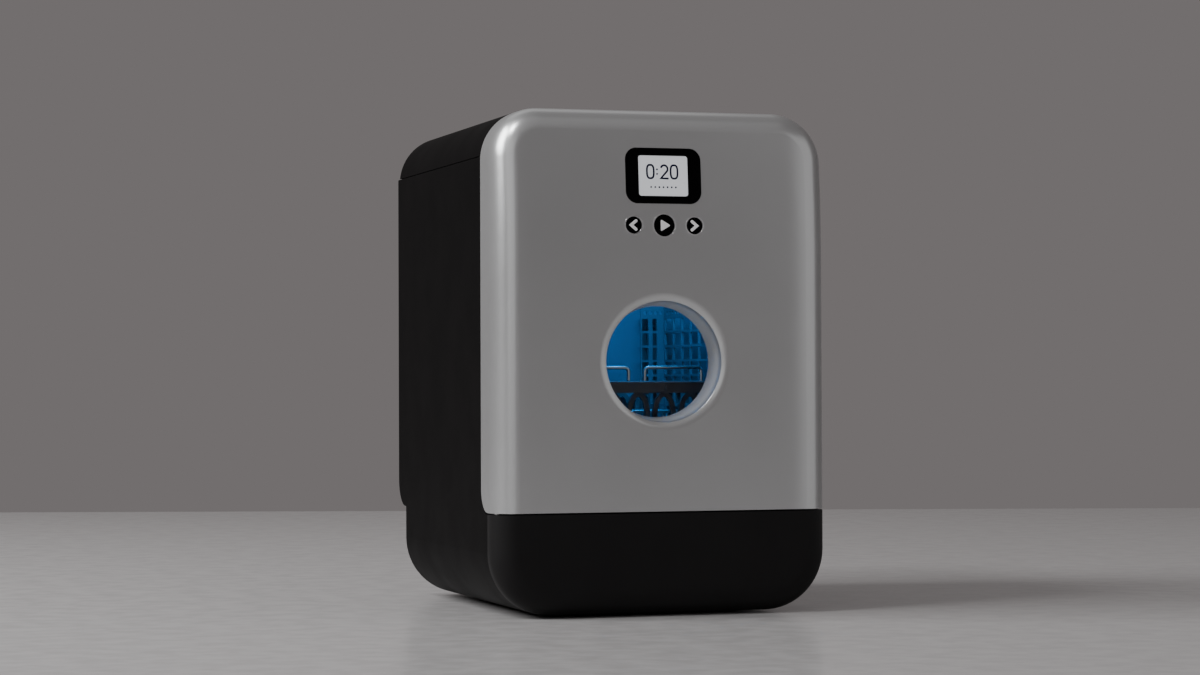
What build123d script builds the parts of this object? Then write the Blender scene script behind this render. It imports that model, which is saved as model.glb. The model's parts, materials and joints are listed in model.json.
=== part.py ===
"""Countertop dishwasher with a side-hung porthole door, built as separate pieces.

Millimetres, +Z up. The origin is the centre of the footprint on the surface that the feet stand on.
-Y is the front, so the door's face looks towards -Y and the water connections towards +Y.
"""

from build123d import *

import os
from math import sqrt

# Overall size
width = 340.0
depth = 390.0
height = 490.0
front_y = -depth / 2
rear_y = depth / 2

# Casing
wall = 2.5
floor_gap = 2.0
top_corner = 50.0
bottom_corner = 60.0
edge_round = 24.0
seam_z = height - 46.0
seam_gap = 0.8
fit_gap = 0.3
rear_step_z = 95.0
rear_step = 32.0
rear_round = 28.0
top_step = 7.0
base_rear_y = rear_y - rear_step
top_rear_y = rear_y - top_step
inner_x = width / 2 - wall - fit_gap

# Door
door_thickness = 52.6
door_bottom = 101.0
door_gap = 1.5
door_rear_y = front_y + door_thickness
body_front_y = door_rear_y + door_gap
lean_start = 340.0
lean_radius = 1110.0
plinth_depth = 30.0
plinth_rear_y = front_y + plinth_depth
plinth_top = door_bottom - door_gap
heel_radius = door_rear_y - plinth_rear_y

# Door hinge, a vertical axis inside the door's left edge
pivot_inset = 8.0
pivot_forward = 30.0
pivot_x = -width / 2 + pivot_inset
pivot_y = door_rear_y - pivot_forward
pin_radius = 3.0
running_gap = 0.05
block_height = 7.0
block_right = 14.0
block_rear = 9.0
arm_z = height - 70.0
arm_height = 8.0
arm_thickness = 4.0
arm_reach = 40.0
arm_clearance = 0.8
arm_plate = 3.0
arm_plate_width = 24.0
arm_plate_height = 14.0
arm_end_radius = 4.4
bracket_thickness = 5.0

# Porthole
port_z = 245.5
port_radius = 54.0
port_mouth_radius = 58.5
port_lip = 8.0
port_dish = 3.0
port_edge_round = 1.2
port_depth = 28.0
glass_thickness = 3.0
glass_radius = 58.0
seal_width = 3.0
funnel_wall = 2.0
funnel_radius = 78.0
inner_glass_radius = 86.0
inner_glass_thickness = 4.0
pad_hole_radius = 80.0

# Door liner
liner_wall = 2.5
pad_depth = 8.0
pad_margin = 10.0
pad_corner = 14.0

# Display and buttons
display_width = 76.6
display_height = 53.6
display_corner = 11.5
display_z = height - 65.0
display_flange = 3.5
display_flange_depth = 2.0
screen_width = 50.0
screen_height = 39.0
screen_corner = 2.5
screen_sink = 0.4
screen_gap = 0.15
button_z = display_z - 48.0
button_pitch = 31.0
side_button_radius = 7.9
play_button_radius = 10.3
button_gap = 0.4
button_recess = 0.8
button_length = 9.0
button_travel = 1.2
button_flange = 1.5
button_flange_depth = 2.0
board_y = front_y + 19.0
board_thickness = 1.6
carrier_width = 104.0
carrier_bottom = button_z - 19.0
carrier_top = display_z + 35.0
mat_thickness = 1.5
dome_radius = 5.0

# Wash chamber
tub_width = width - 76.0
tub_bottom = 125.0
tub_top = height - 75.0
tub_corner = 22.0
tub_back_corner = 18.0
tub_wall = 1.5
frame_thickness = 4.0
frame_back_y = body_front_y + frame_thickness
tub_back_y = rear_y - 57.0
tub_y = (frame_back_y + tub_back_y) / 2
tub_z = (tub_bottom + tub_top) / 2
tub_height = tub_top - tub_bottom
gasket_width = 5.0

# Basket and what stands in it
basket_width = tub_width - 40.0
basket_front_y = front_y + 79.0
basket_back_y = tub_back_y - 20.0
basket_y = (basket_front_y + basket_back_y) / 2
basket_length = basket_back_y - basket_front_y
rim_width = 8.0
rim_height = 12.0
rim_top = 227.0
rim_bottom = rim_top - rim_height
basket_floor_z = 154.0
basket_floor = 3.0
lattice = 4.0
arch_pitch = 27.0
arch_width = 24.5
arch_band = 5.0
arch_rise = 24.0
groove_depth = 0.8
groove_height = 6.3
groove_z = 220.8
rib_x = 27.6
rib_width = 2.5
slide_gap = 0.3
runner_height = 8.0
runner_gap = 1.0
wire_radius = 1.8
guard_shift = -2.0
guard_inner_x = 8.5
guard_outer_x = basket_width / 2 - 44.0
guard_top = 242.0
guard_corner = 4.0
cutlery_width = 28.5
cutlery_front_y = basket_back_y - 178.0
cutlery_back_y = basket_back_y - 9.0
cutlery_top = 306.0
cutlery_low_top = 221.0
cutlery_wall = 2.5
cutlery_bar = 3.0
cutlery_pitch = 27.2
cutlery_windows = 6
cutlery_window_y = basket_back_y - 95.4
cutlery_rung = 2.5
cutlery_rung_pitch = 15.5
cutlery_rows = 8
cutlery_window_z = 233.0
band_hole_z = 300.0
band_hole_radius = 2.0
band_hole_pitch = 9.0
band_holes = 17
end_hole_pitch = 6.0
end_holes = 4
grille_left_x = tub_width / 2 - 48.0
grille_right_x = tub_width / 2 - 22.0
grille_bottom = 170.0
grille_top = 297.0
grille_depth = 4.0

# Spray arms, sump and filter
arm_bottom_z = 134.0
spray_thickness = 8.0
spray_radius = tub_width / 2 - 20.0
spray_width = 30.0
post_radius = 9.0
journal_radius = 6.0
sump_radius = 48.0
sump_wall = 2.0
sump_bottom = 88.0
sump_flange = 8.0
filter_radius = 58.0
filter_thickness = 1.5
cup_radius = 13.7
cup_offset = 28.5
cup_flange = 3.0
cup_bottom = 95.0
sprayer_y = -28.0
sprayer_radius = 32.0
sprayer_thickness = 5.0
sprayer_stub = 5.7

# Base machinery
tray_thickness = 2.0
tray_width = width - 124.0
tray_top = floor_gap + wall + tray_thickness
pump_x = 62.0
pump_z = 44.0
volute_radius = 34.0
volute_front_y = -41.0
volute_back_y = -15.0
volute_wall = 3.0
motor_radius = 26.0
motor_back_y = 55.0
impeller_radius = 27.0
shaft_radius = 3.0
heater_z = 34.0
heater_radius = 18.0
heater_left_x = -110.0
heater_right_x = -40.0
drain_pump_x = 20.0
drain_pump_z = 30.0
drain_pump_radius = 18.0
drain_pump_front_y = base_rear_y - 73.0
drain_pump_back_y = base_rear_y - 23.0
hose_radius = 7.0
hose_bore = 5.0
hose_bend = 12.0

# Water tank and its filling flap
shelf_z = 136.0
shelf_thickness = 2.0
shelf_top = shelf_z + shelf_thickness
tank_front_y = tub_back_y + 6.0
tank_back_y = rear_y - 13.0
tank_top = seam_z - 8.0
tank_width = width - 28.0
tank_wall = 2.0
tank_corner = 10.0
flap_width = 96.0
flap_length = 46.0
flap_thickness = 5.0
flap_axis_y = rear_y - 17.0
flap_pin_radius = 1.5
flap_pin_end = 2.5
collar_width = 5.0
collar_depth = 8.0
neck_y = (tank_front_y + tank_back_y) / 2
neck_radius = 17.0
neck_top = height - 22.0
funnel_floor = 2.0

# Rear connections
connection_z = 70.0
inlet_x = width / 2 - 100.0
inlet_radius = 13.2
inlet_length = 14.0
drain_x = width / 2 - 58.0
drain_radius = 9.0
drain_length = 22.0
nut_radius = 18.0
nut_thickness = 3.0
socket_x = 86.0 - width / 2
socket_width = 24.5
socket_height = 16.5
socket_depth = 16.0

# Door lock
hook_x = width / 2 - 22.0
hook_z = 270.0
hook_width = 18.0
hook_thickness = 4.0
hook_reach = 26.0
hook_swing = 6.0
eye_radius = 4.0
eye_y = door_rear_y + 17.0
bolt_radius = 2.5
bolt_length = 12.0
lock_travel = 10.0
lock_wall = 2.5

os.makedirs("parts", exist_ok=True)


def facing_front(y):
    """Sketch plane at depth y that faces the front: local x is X, local y is Z."""
    return Plane(origin=(0, y, 0), x_dir=(1, 0, 0), z_dir=(0, -1, 0))


def facing_side(x):
    """Sketch plane at x that faces +X: local x is Y, local y is Z."""
    return Plane(origin=(x, 0, 0), x_dir=(0, 1, 0), z_dir=(1, 0, 0))


def save(part, name):
    """Names a finished piece and writes it as its own file."""
    part.label = name
    export_step(part, f"parts/{name}.step")


def case_outline(inset):
    """Front outline of the casing, with wider rounds at the bottom than at the top."""
    with BuildSketch() as sketch:
        with Locations((0, (floor_gap + height) / 2)):
            Rectangle(width - 2 * inset, height - floor_gap - 2 * inset)
        fillet(sketch.vertices().group_by(Axis.Y)[0], bottom_corner - inset)
        fillet(sketch.vertices().group_by(Axis.Y)[-1], top_corner - inset)
    return sketch.sketch


def lean_y(z, inset=0.0):
    """Depth of the door's face at height z, which leans back above the straight part."""
    if z <= lean_start:
        return front_y + inset
    radius = lean_radius - inset
    return front_y + lean_radius - sqrt(radius**2 - (z - lean_start) ** 2)


def door_profile(inset, open_rear):
    """Door seen from its side, flat below and leaning gently back towards the top."""
    top = height + 1
    middle = (lean_start + top) / 2
    rear = door_rear_y + (5 if open_rear else 0)
    with BuildSketch() as sketch:
        with BuildLine():
            Line((front_y + inset, door_bottom + inset), (front_y + inset, lean_start))
            ThreePointArc(
                (front_y + inset, lean_start),
                (lean_y(middle, inset), middle),
                (lean_y(top, inset), top),
            )
            Line((lean_y(top, inset), top), (rear, top))
            if open_rear:
                Polyline((rear, top), (rear, door_bottom + inset), (front_y + inset, door_bottom + inset))
            else:
                Line((rear, top), (rear, door_bottom + heel_radius))
                RadiusArc((rear, door_bottom + heel_radius), (plinth_rear_y, door_bottom), heel_radius)
                Line((plinth_rear_y, door_bottom), (front_y, door_bottom))
        make_face()
    return sketch.sketch


def door_block(inset, open_rear=True):
    """Solid door form, taken in by the inset, with its front edges rounded."""
    with BuildPart() as block:
        with BuildSketch(facing_front(door_rear_y + (4 if open_rear else 0))):
            add(case_outline(inset))
        extrude(amount=door_thickness + 10)
        with BuildSketch(facing_side(0)):
            add(door_profile(inset, open_rear))
        extrude(amount=width, both=True, mode=Mode.INTERSECT)
        faces = block.faces().filter_by(lambda f: f.normal_at().Y < -0.9)
        edges = faces.edges().filter_by(
            lambda e: e.center().Z > door_bottom + inset + 1
            and not (abs(e.center().Z - lean_start) < 0.5 and e.bounding_box().size.Z < 0.1)
        )
        fillet(edges, edge_round - inset)
    return block.part


def plinth_block(inset):
    """Solid form of the front plinth, taken in by the inset."""
    with BuildPart() as block:
        with BuildSketch(facing_front(plinth_rear_y + inset)):
            add(case_outline(inset))
        extrude(amount=plinth_depth)
        with BuildSketch(Plane.XY.offset(plinth_top - inset)):
            Rectangle(2 * width, 2 * depth)
        extrude(amount=height, mode=Mode.SUBTRACT)
        face = block.faces().sort_by(Axis.Y)[0]
        edges = face.edges().filter_by(lambda e: e.center().Z < plinth_top - inset - 1)
        fillet(edges, edge_round - inset)
    return block.part


def hose(points, bend, end_plane):
    """Hollow hose along straight runs joined by bends, starting at the plane given."""
    with BuildPart() as tube:
        with BuildLine():
            FilletPolyline(*points, radius=bend)
        with BuildSketch(end_plane):
            Circle(hose_radius)
            Circle(hose_bore, mode=Mode.SUBTRACT)
        sweep()
    return tube.part


# Outer wrap: both sides and the bottom in one bent shell
with BuildPart() as wrap_casing:
    with BuildSketch(facing_front(rear_y)):
        add(case_outline(0))
        add(case_outline(wall), mode=Mode.SUBTRACT)
    extrude(amount=rear_y - plinth_rear_y - fit_gap)
    with BuildSketch(Plane.XY.offset(seam_z)):
        Rectangle(2 * width, 2 * depth)
    extrude(amount=height, mode=Mode.SUBTRACT)
    with BuildSketch(facing_side(0)) as door_room:
        with Locations((body_front_y - depth / 2, plinth_top + height / 2)):
            Rectangle(depth, height)
        fillet(door_room.vertices().group_by(Axis.Y)[0].sort_by(Axis.X)[-1], heel_radius + door_gap)
    extrude(amount=width, both=True, mode=Mode.SUBTRACT)
    step_start = rear_y - rear_round
    with BuildSketch(facing_side(0)):
        with BuildLine():
            Polyline(
                (step_start, rear_step_z),
                (base_rear_y, rear_step_z),
                (base_rear_y, -floor_gap),
                (rear_y + 1, -floor_gap),
                (rear_y + 1, rear_step_z + rear_round),
                (rear_y, rear_step_z + rear_round),
            )
            RadiusArc((rear_y, rear_step_z + rear_round), (step_start, rear_step_z), rear_round)
        make_face()
    extrude(amount=width, both=True, mode=Mode.SUBTRACT)
save(wrap_casing.part, "wrap_casing")

# Top cover with the collar that carries the filling flap
flap_front_y = flap_axis_y - flap_length
flap_axis_z = height - flap_thickness / 2
collar_front_y = flap_front_y - collar_width
collar_back_y = flap_axis_y + flap_thickness / 2 + collar_width
collar_z = height - collar_depth
hole_front_y = flap_front_y - fit_gap
hole_back_y = flap_axis_y + flap_thickness / 2 + fit_gap
flap_axis = Plane(origin=(0, flap_axis_y, flap_axis_z), z_dir=(1, 0, 0))
with BuildPart() as top_cover:
    with BuildSketch(facing_front(top_rear_y)):
        add(case_outline(0))
    extrude(amount=top_rear_y - body_front_y)
    with BuildSketch(facing_front(top_rear_y - wall)):
        add(case_outline(wall))
    extrude(amount=top_rear_y - body_front_y, mode=Mode.SUBTRACT)
    with BuildSketch(Plane.XY.offset(seam_z + seam_gap)):
        Rectangle(2 * width, 2 * depth)
    extrude(amount=-height, mode=Mode.SUBTRACT)
    with BuildSketch(Plane.XY.offset(collar_z)):
        with Locations((0, (collar_front_y + collar_back_y) / 2)):
            Rectangle(flap_width + 2 * collar_width, collar_back_y - collar_front_y)
    extrude(amount=collar_depth)
    with BuildSketch(Plane.XY.offset(collar_z)):
        with Locations((0, (hole_front_y + hole_back_y) / 2)):
            Rectangle(flap_width + 2 * fit_gap, hole_back_y - hole_front_y)
    extrude(amount=collar_depth, mode=Mode.SUBTRACT)
    with Locations(flap_axis):
        Cylinder(flap_pin_radius + running_gap, flap_width + 2 * flap_pin_end + 1, mode=Mode.SUBTRACT)
save(top_cover.part, "top_cover")

# Filling flap with its end pins: its rear edge is a half round about the pivot
finger_dip = 10.0
with BuildPart() as fill_flap:
    with BuildSketch(facing_side(-flap_width / 2)):
        with Locations(((flap_front_y + flap_axis_y) / 2, flap_axis_z)):
            Rectangle(flap_length, flap_thickness)
        with Locations((flap_axis_y, flap_axis_z)):
            Circle(flap_thickness / 2)
    extrude(amount=flap_width)
    with Locations((0, flap_front_y, height + finger_dip / 2)):
        Sphere(finger_dip, mode=Mode.SUBTRACT)
    with Locations(flap_axis):
        Cylinder(flap_pin_radius, flap_width + 2 * flap_pin_end)
save(fill_flap.part, "fill_flap")

# Rear cover: louvred back that curls forward at its lower edge
louvre_z = height - 160.0
louvre_length = 62.0
louvre_height = 4.0
louvre_pitch = 12.0
louvre_rows = 10
louvre_column = 84.0
curl_z = rear_step_z + rear_round
with BuildPart() as rear_cover:
    with BuildSketch(facing_side(-inner_x)):
        with BuildLine():
            Line((rear_y, seam_z), (rear_y, curl_z))
            RadiusArc((rear_y, curl_z), (step_start, rear_step_z), rear_round)
            Polyline(
                (step_start, rear_step_z),
                (base_rear_y + fit_gap, rear_step_z),
                (base_rear_y + fit_gap, rear_step_z + wall),
                (step_start, rear_step_z + wall),
            )
            RadiusArc((step_start, rear_step_z + wall), (rear_y - wall, curl_z), wall - rear_round)
            Polyline(
                (rear_y - wall, curl_z),
                (rear_y - wall, seam_z - wall),
                (top_rear_y - 2 * wall, seam_z - wall),
                (top_rear_y - 2 * wall, seam_z),
                (rear_y, seam_z),
            )
        make_face()
    extrude(amount=2 * inner_x)
    with BuildSketch(facing_front(rear_y)):
        with Locations((0, louvre_z)):
            with GridLocations(louvre_column, louvre_pitch, 2, louvre_rows):
                SlotOverall(louvre_length, louvre_height)
    extrude(amount=wall, mode=Mode.SUBTRACT)
save(rear_cover.part, "rear_cover")

# Front plinth panel, with the hole that the lower hinge pin passes
with BuildPart() as plinth_panel:
    add(plinth_block(0))
    add(plinth_block(wall), mode=Mode.SUBTRACT)
    with BuildSketch(Plane.XY.offset(plinth_top - 2 * wall)):
        with Locations((pivot_x, pivot_y)):
            Circle(pin_radius + 2 * fit_gap)
    extrude(amount=3 * wall, mode=Mode.SUBTRACT)
save(plinth_panel.part, "plinth_panel")

# Front frame behind the door, with a cove that follows the door's heel
cove_radius = heel_radius + door_gap
cove_z = plinth_top + cove_radius
hook_left_x = hook_x - hook_width / 2
slot_right_x = hook_x + hook_width / 2 + hook_swing
arm_x = pivot_x + arm_reach
with BuildPart() as front_frame:
    with BuildSketch(facing_front(frame_back_y)):
        add(case_outline(wall + fit_gap))
    extrude(amount=frame_back_y - plinth_rear_y - fit_gap)
    with BuildSketch(facing_side(0)):
        with BuildLine():
            Polyline(
                (plinth_rear_y, plinth_top - frame_thickness),
                (plinth_rear_y, plinth_top),
            )
            RadiusArc((plinth_rear_y, plinth_top), (body_front_y, cove_z), -cove_radius)
            Polyline(
                (body_front_y, cove_z),
                (body_front_y, height),
                (frame_back_y, height),
                (frame_back_y, cove_z),
            )
            RadiusArc(
                (frame_back_y, cove_z),
                (plinth_rear_y, plinth_top - frame_thickness),
                cove_radius + frame_thickness,
            )
        make_face()
    extrude(amount=width, both=True, mode=Mode.INTERSECT)
    with BuildSketch(facing_front(frame_back_y)):
        with Locations((0, tub_z)):
            RectangleRounded(tub_width, tub_height, tub_corner)
    extrude(amount=2 * frame_thickness, mode=Mode.SUBTRACT)
    with BuildSketch(facing_front(frame_back_y)):
        with Locations(((hook_left_x - 1 + slot_right_x) / 2, hook_z)):
            Rectangle(slot_right_x - hook_left_x + 1, hook_thickness + 4)
        with Locations((arm_x, arm_z + arm_height / 2)):
            Rectangle(arm_thickness + fit_gap, arm_height + fit_gap)
    extrude(amount=2 * frame_thickness, mode=Mode.SUBTRACT)
save(front_frame.part, "front_frame")

# Base rear panel, with holes for the water connections and the mains inlet
panel_front_y = base_rear_y - wall
screw_x = width / 2 - 30.0
screw_low_z = 40.0
screw_high_z = 86.0
screw_radius = 2.0
with BuildPart() as base_rear_panel:
    with BuildSketch(facing_front(base_rear_y)):
        add(case_outline(wall + fit_gap))
    extrude(amount=wall)
    with BuildSketch(Plane.XY.offset(shelf_z)):
        Rectangle(2 * width, 2 * depth)
    extrude(amount=height, mode=Mode.SUBTRACT)
    with BuildSketch(facing_front(base_rear_y)):
        with Locations((inlet_x, connection_z)):
            Circle(inlet_radius + fit_gap)
        with Locations((drain_x, connection_z)):
            Circle(drain_radius + fit_gap)
        with Locations((socket_x, connection_z)):
            Rectangle(socket_width + 2 * wall + 2 * fit_gap, socket_height + 2 * wall + 2 * fit_gap)
        with Locations((0, (screw_low_z + screw_high_z) / 2)):
            with GridLocations(2 * screw_x, screw_high_z - screw_low_z, 2, 2):
                Circle(screw_radius)
    extrude(amount=wall, mode=Mode.SUBTRACT)
save(base_rear_panel.part, "base_rear_panel")

# Screws that hold the base rear panel
screw_length = 10.0
head_radius = 3.8
head_height = 2.2
with BuildPart() as casing_screws:
    with BuildSketch(facing_front(base_rear_y)):
        with Locations((0, (screw_low_z + screw_high_z) / 2)):
            with GridLocations(2 * screw_x, screw_high_z - screw_low_z, 2, 2):
                Circle(screw_radius)
    extrude(amount=screw_length)
    with BuildSketch(facing_front(base_rear_y)):
        with Locations((0, (screw_low_z + screw_high_z) / 2)):
            with GridLocations(2 * screw_x, screw_high_z - screw_low_z, 2, 2):
                Circle(head_radius)
    extrude(amount=-head_height)
save(casing_screws.part, "casing_screws")

# Shelf between the sides that carries the tank and the back of the tub
with BuildPart() as tank_shelf:
    with BuildSketch(Plane.XY.offset(shelf_z)):
        with Locations((0, (tub_back_y + tub_wall + fit_gap + rear_y - wall - fit_gap) / 2)):
            Rectangle(2 * inner_x, rear_y - wall - tub_back_y - tub_wall - 2 * fit_gap)
        with Locations((inlet_x, tank_front_y + hose_radius + 1)):
            Circle(hose_radius + fit_gap, mode=Mode.SUBTRACT)
    extrude(amount=shelf_thickness)
save(tank_shelf.part, "tank_shelf")

# Floor tray of the base
with BuildPart() as base_tray:
    with BuildSketch(Plane.XY.offset(floor_gap + wall)):
        with Locations((0, (plinth_rear_y + panel_front_y) / 2)):
            Rectangle(tray_width, panel_front_y - plinth_rear_y - 2 * fit_gap - 2)
    extrude(amount=tray_thickness)
save(base_tray.part, "base_tray")

# Four rubber feet
foot_radius = 11.0
foot_x = width / 2 - 82.0
foot_y = depth / 2 - 73.0
with BuildPart() as rubber_feet:
    with BuildSketch(Plane.XY):
        with GridLocations(2 * foot_x, 2 * foot_y, 2, 2):
            Circle(foot_radius)
    extrude(amount=floor_gap)
save(rubber_feet.part, "rubber_feet")

# Door shell: skin with its porthole bore, display opening and button holes
shell_layer = door_block(wall)
port_center = (0, port_z)
glass_y = front_y + port_depth
mouth_y = front_y + port_dish
bore_z = port_z + port_radius
mouth_z = port_z + port_mouth_radius
dish_z = mouth_z + port_lip
dish_radius = (port_lip**2 + port_dish**2) / (2 * port_dish)


def display_prism(grow):
    """Prism through the door's face in the display's outline, grown by a margin."""
    with BuildPart() as prism:
        with BuildSketch(facing_front(door_rear_y)):
            with Locations((0, display_z)):
                RectangleRounded(display_width + 2 * grow, display_height + 2 * grow, display_corner + grow)
        extrude(amount=door_thickness + 5)
    return prism.part


def screen_prism(grow):
    """Prism through the door's face in the screen's outline, grown by a margin."""
    with BuildPart() as prism:
        with BuildSketch(facing_front(door_rear_y)):
            with Locations((0, display_z)):
                RectangleRounded(screen_width + 2 * grow, screen_height + 2 * grow, screen_corner)
        extrude(amount=door_thickness + 5)
    return prism.part


buttons = {
    "button_left": (-button_pitch, side_button_radius),
    "button_start": (0, play_button_radius),
    "button_right": (button_pitch, side_button_radius),
}

with BuildPart() as door_shell:
    add(door_block(0, open_rear=False))
    add(shell_layer, mode=Mode.SUBTRACT)
    with BuildSketch(facing_front(front_y + wall + 1)):
        with Locations(port_center):
            Circle(port_mouth_radius + port_lip)
    extrude(amount=2 * wall, mode=Mode.SUBTRACT)
    with BuildSketch(facing_side(0)) as bore_profile:
        with BuildLine():
            RadiusArc((front_y, dish_z), (mouth_y, mouth_z), -dish_radius)
            Polyline(
                (mouth_y, mouth_z),
                (glass_y, bore_z),
                (glass_y, bore_z + wall),
                (mouth_y + wall, mouth_z + wall),
                (front_y + wall, dish_z),
                (front_y, dish_z),
            )
        make_face()
        fillet(bore_profile.vertices().sort_by_distance((mouth_y, mouth_z, 0))[0], port_edge_round)
    revolve(axis=Axis((0, 0, port_z), (0, 1, 0)))
    add(display_prism(fit_gap), mode=Mode.SUBTRACT)
    for place, radius in buttons.values():
        with BuildSketch(facing_front(front_y + 4 * wall)):
            with Locations((place, button_z)):
                Circle(radius + button_gap)
        extrude(amount=5 * wall, mode=Mode.SUBTRACT)
    with BuildSketch(Plane.XY.offset(door_bottom)):
        with Locations((pivot_x, pivot_y)):
            Circle(pin_radius + 2 * fit_gap)
    extrude(amount=wall, mode=Mode.SUBTRACT)
save(door_shell.part, "door_shell")

# Door liner: inner panel with a raised pad that reaches into the tub
liner_front_y = door_rear_y - liner_wall
heel_z = door_bottom + heel_radius
pad_width = tub_width - 2 * pad_margin
pad_height = tub_height - 2 * pad_margin
pad_back_y = door_rear_y + pad_depth
slot_right = arm_x + arm_thickness / 2 + 1
with BuildPart() as door_liner:
    with BuildSketch(facing_front(door_rear_y)):
        add(case_outline(wall + fit_gap))
    extrude(amount=door_thickness)
    with BuildSketch(facing_side(0)):
        with BuildLine():
            Polyline(
                (plinth_rear_y, door_bottom + liner_wall),
                (plinth_rear_y, door_bottom),
            )
            RadiusArc((plinth_rear_y, door_bottom), (door_rear_y, heel_z), -heel_radius)
            Polyline(
                (door_rear_y, heel_z),
                (door_rear_y, height),
                (liner_front_y, height),
                (liner_front_y, heel_z),
            )
            RadiusArc(
                (liner_front_y, heel_z),
                (plinth_rear_y, door_bottom + liner_wall),
                heel_radius - liner_wall,
            )
        make_face()
    extrude(amount=width, both=True, mode=Mode.INTERSECT)
    with BuildSketch(Plane.XY.offset(door_bottom - 1)):
        Rectangle(2 * width, 2 * depth)
    extrude(amount=wall + fit_gap + 1, mode=Mode.SUBTRACT)
    with BuildSketch(facing_front(pad_back_y)):
        with Locations((0, tub_z)):
            RectangleRounded(pad_width, pad_height, pad_corner)
    extrude(amount=pad_depth + liner_wall)
    with BuildSketch(facing_front(pad_back_y - liner_wall)):
        with Locations((0, tub_z)):
            RectangleRounded(pad_width - 2 * liner_wall, pad_height - 2 * liner_wall, pad_corner - liner_wall)
    extrude(amount=pad_depth + liner_wall, mode=Mode.SUBTRACT)
    with BuildSketch(facing_front(pad_back_y)):
        with Locations(port_center):
            Circle(pad_hole_radius)
    extrude(amount=liner_wall, mode=Mode.SUBTRACT)
    with BuildSketch(facing_front(door_rear_y)):
        with Locations(((slot_right - width) / 2, arm_z + arm_height / 2)):
            Rectangle(slot_right + width, arm_height + 2 * arm_clearance)
        with Locations((hook_x, hook_z)):
            Rectangle(hook_width, hook_thickness)
    extrude(amount=liner_wall, mode=Mode.SUBTRACT)
save(door_liner.part, "door_liner")

# Porthole glass, its seal, the funnel behind it and the inner window
glass_back_y = glass_y + glass_thickness
inner_glass_back_y = pad_back_y - liner_wall
inner_glass_y = inner_glass_back_y - inner_glass_thickness
seal_radius = glass_radius + seal_width
with BuildPart() as porthole_glass:
    with BuildSketch(facing_front(glass_back_y)):
        with Locations(port_center):
            Circle(glass_radius)
    extrude(amount=glass_thickness)
save(porthole_glass.part, "porthole_glass")

with BuildPart() as porthole_seal:
    with BuildSketch(facing_front(glass_back_y)):
        with Locations(port_center):
            Circle(seal_radius)
            Circle(glass_radius, mode=Mode.SUBTRACT)
    extrude(amount=glass_thickness + 1)
save(porthole_seal.part, "porthole_seal")

with BuildPart() as porthole_funnel:
    with BuildSketch(facing_side(0)):
        with BuildLine():
            Polyline(
                (glass_back_y, port_z + port_radius + 1),
                (glass_back_y, port_z + seal_radius),
                (glass_back_y + funnel_wall, port_z + seal_radius),
                (glass_back_y + funnel_wall, port_z + port_radius + 1 + funnel_wall),
                (inner_glass_y, port_z + funnel_radius),
                (inner_glass_y, port_z + funnel_radius - funnel_wall),
                (glass_back_y, port_z + port_radius + 1),
            )
        make_face()
    revolve(axis=Axis((0, 0, port_z), (0, 1, 0)))
save(porthole_funnel.part, "porthole_funnel")

with BuildPart() as inner_window:
    with BuildSketch(facing_front(inner_glass_back_y)):
        with Locations(port_center):
            Circle(inner_glass_radius)
    extrude(amount=inner_glass_thickness)
save(inner_window.part, "inner_window")

# Display window with its flange behind the skin, and the screen tile in it
flange_inset = wall + fit_gap
flange_layer = door_block(flange_inset)
flange_back = door_block(flange_inset + display_flange_depth)
face_layer = door_block(0)
screen_layer = door_block(screen_sink)
with BuildPart() as display_window:
    add(face_layer)
    add(display_prism(0), mode=Mode.INTERSECT)
    add(flange_layer, mode=Mode.SUBTRACT)
    with BuildPart(mode=Mode.PRIVATE) as flange:
        add(door_block(wall))
        add(display_prism(display_flange), mode=Mode.INTERSECT)
        add(flange_back, mode=Mode.SUBTRACT)
    add(flange.part)
    add(screen_prism(screen_gap), mode=Mode.SUBTRACT)
save(display_window.part, "display_window")

with BuildPart() as display_screen:
    add(screen_layer)
    add(screen_prism(0), mode=Mode.INTERSECT)
    add(flange_back, mode=Mode.SUBTRACT)
save(display_screen.part, "display_screen")

# Carrier behind the face, with guides for the buttons
carrier_gap = 0.1
button_face_y = lean_y(button_z) + button_recess
button_back_y = button_face_y + button_length
with BuildPart() as control_carrier:
    add(door_block(wall + carrier_gap))
    with BuildSketch(facing_front(board_y)):
        with Locations((0, (carrier_bottom + carrier_top) / 2)):
            RectangleRounded(carrier_width, carrier_top - carrier_bottom, display_corner)
    extrude(amount=door_thickness, mode=Mode.INTERSECT)
    add(display_prism(display_flange + fit_gap), mode=Mode.SUBTRACT)
    for place, radius in buttons.values():
        with BuildSketch(facing_front(board_y)):
            with Locations((place, button_z)):
                Circle(radius + button_flange + button_gap)
        extrude(amount=door_thickness, mode=Mode.SUBTRACT)
save(control_carrier.part, "control_carrier")

# Three push buttons, each with a flange that keeps it behind the skin
flange_y = lean_y(button_z) + wall + 2 * fit_gap
for name, (place, radius) in buttons.items():
    with BuildPart() as button:
        with BuildSketch(facing_front(button_back_y)):
            with Locations((place, button_z)):
                Circle(radius)
        extrude(amount=button_length)
        with BuildSketch(facing_front(flange_y + button_flange_depth)):
            with Locations((place, button_z)):
                Circle(radius + button_flange)
        extrude(amount=button_flange_depth)
    save(button.part, name)

# Rubber mat with a dome behind each button
dome_y = button_back_y + button_travel + fit_gap
with BuildPart() as keypad_mat:
    for place, radius in buttons.values():
        with BuildSketch(facing_front(board_y)):
            with Locations((place, button_z)):
                Circle(radius + button_flange)
        extrude(amount=mat_thickness)
        with BuildSketch(facing_front(board_y)):
            with Locations((place, button_z)):
                Circle(dome_radius)
        extrude(amount=board_y - dome_y)
save(keypad_mat.part, "keypad_mat")

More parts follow.
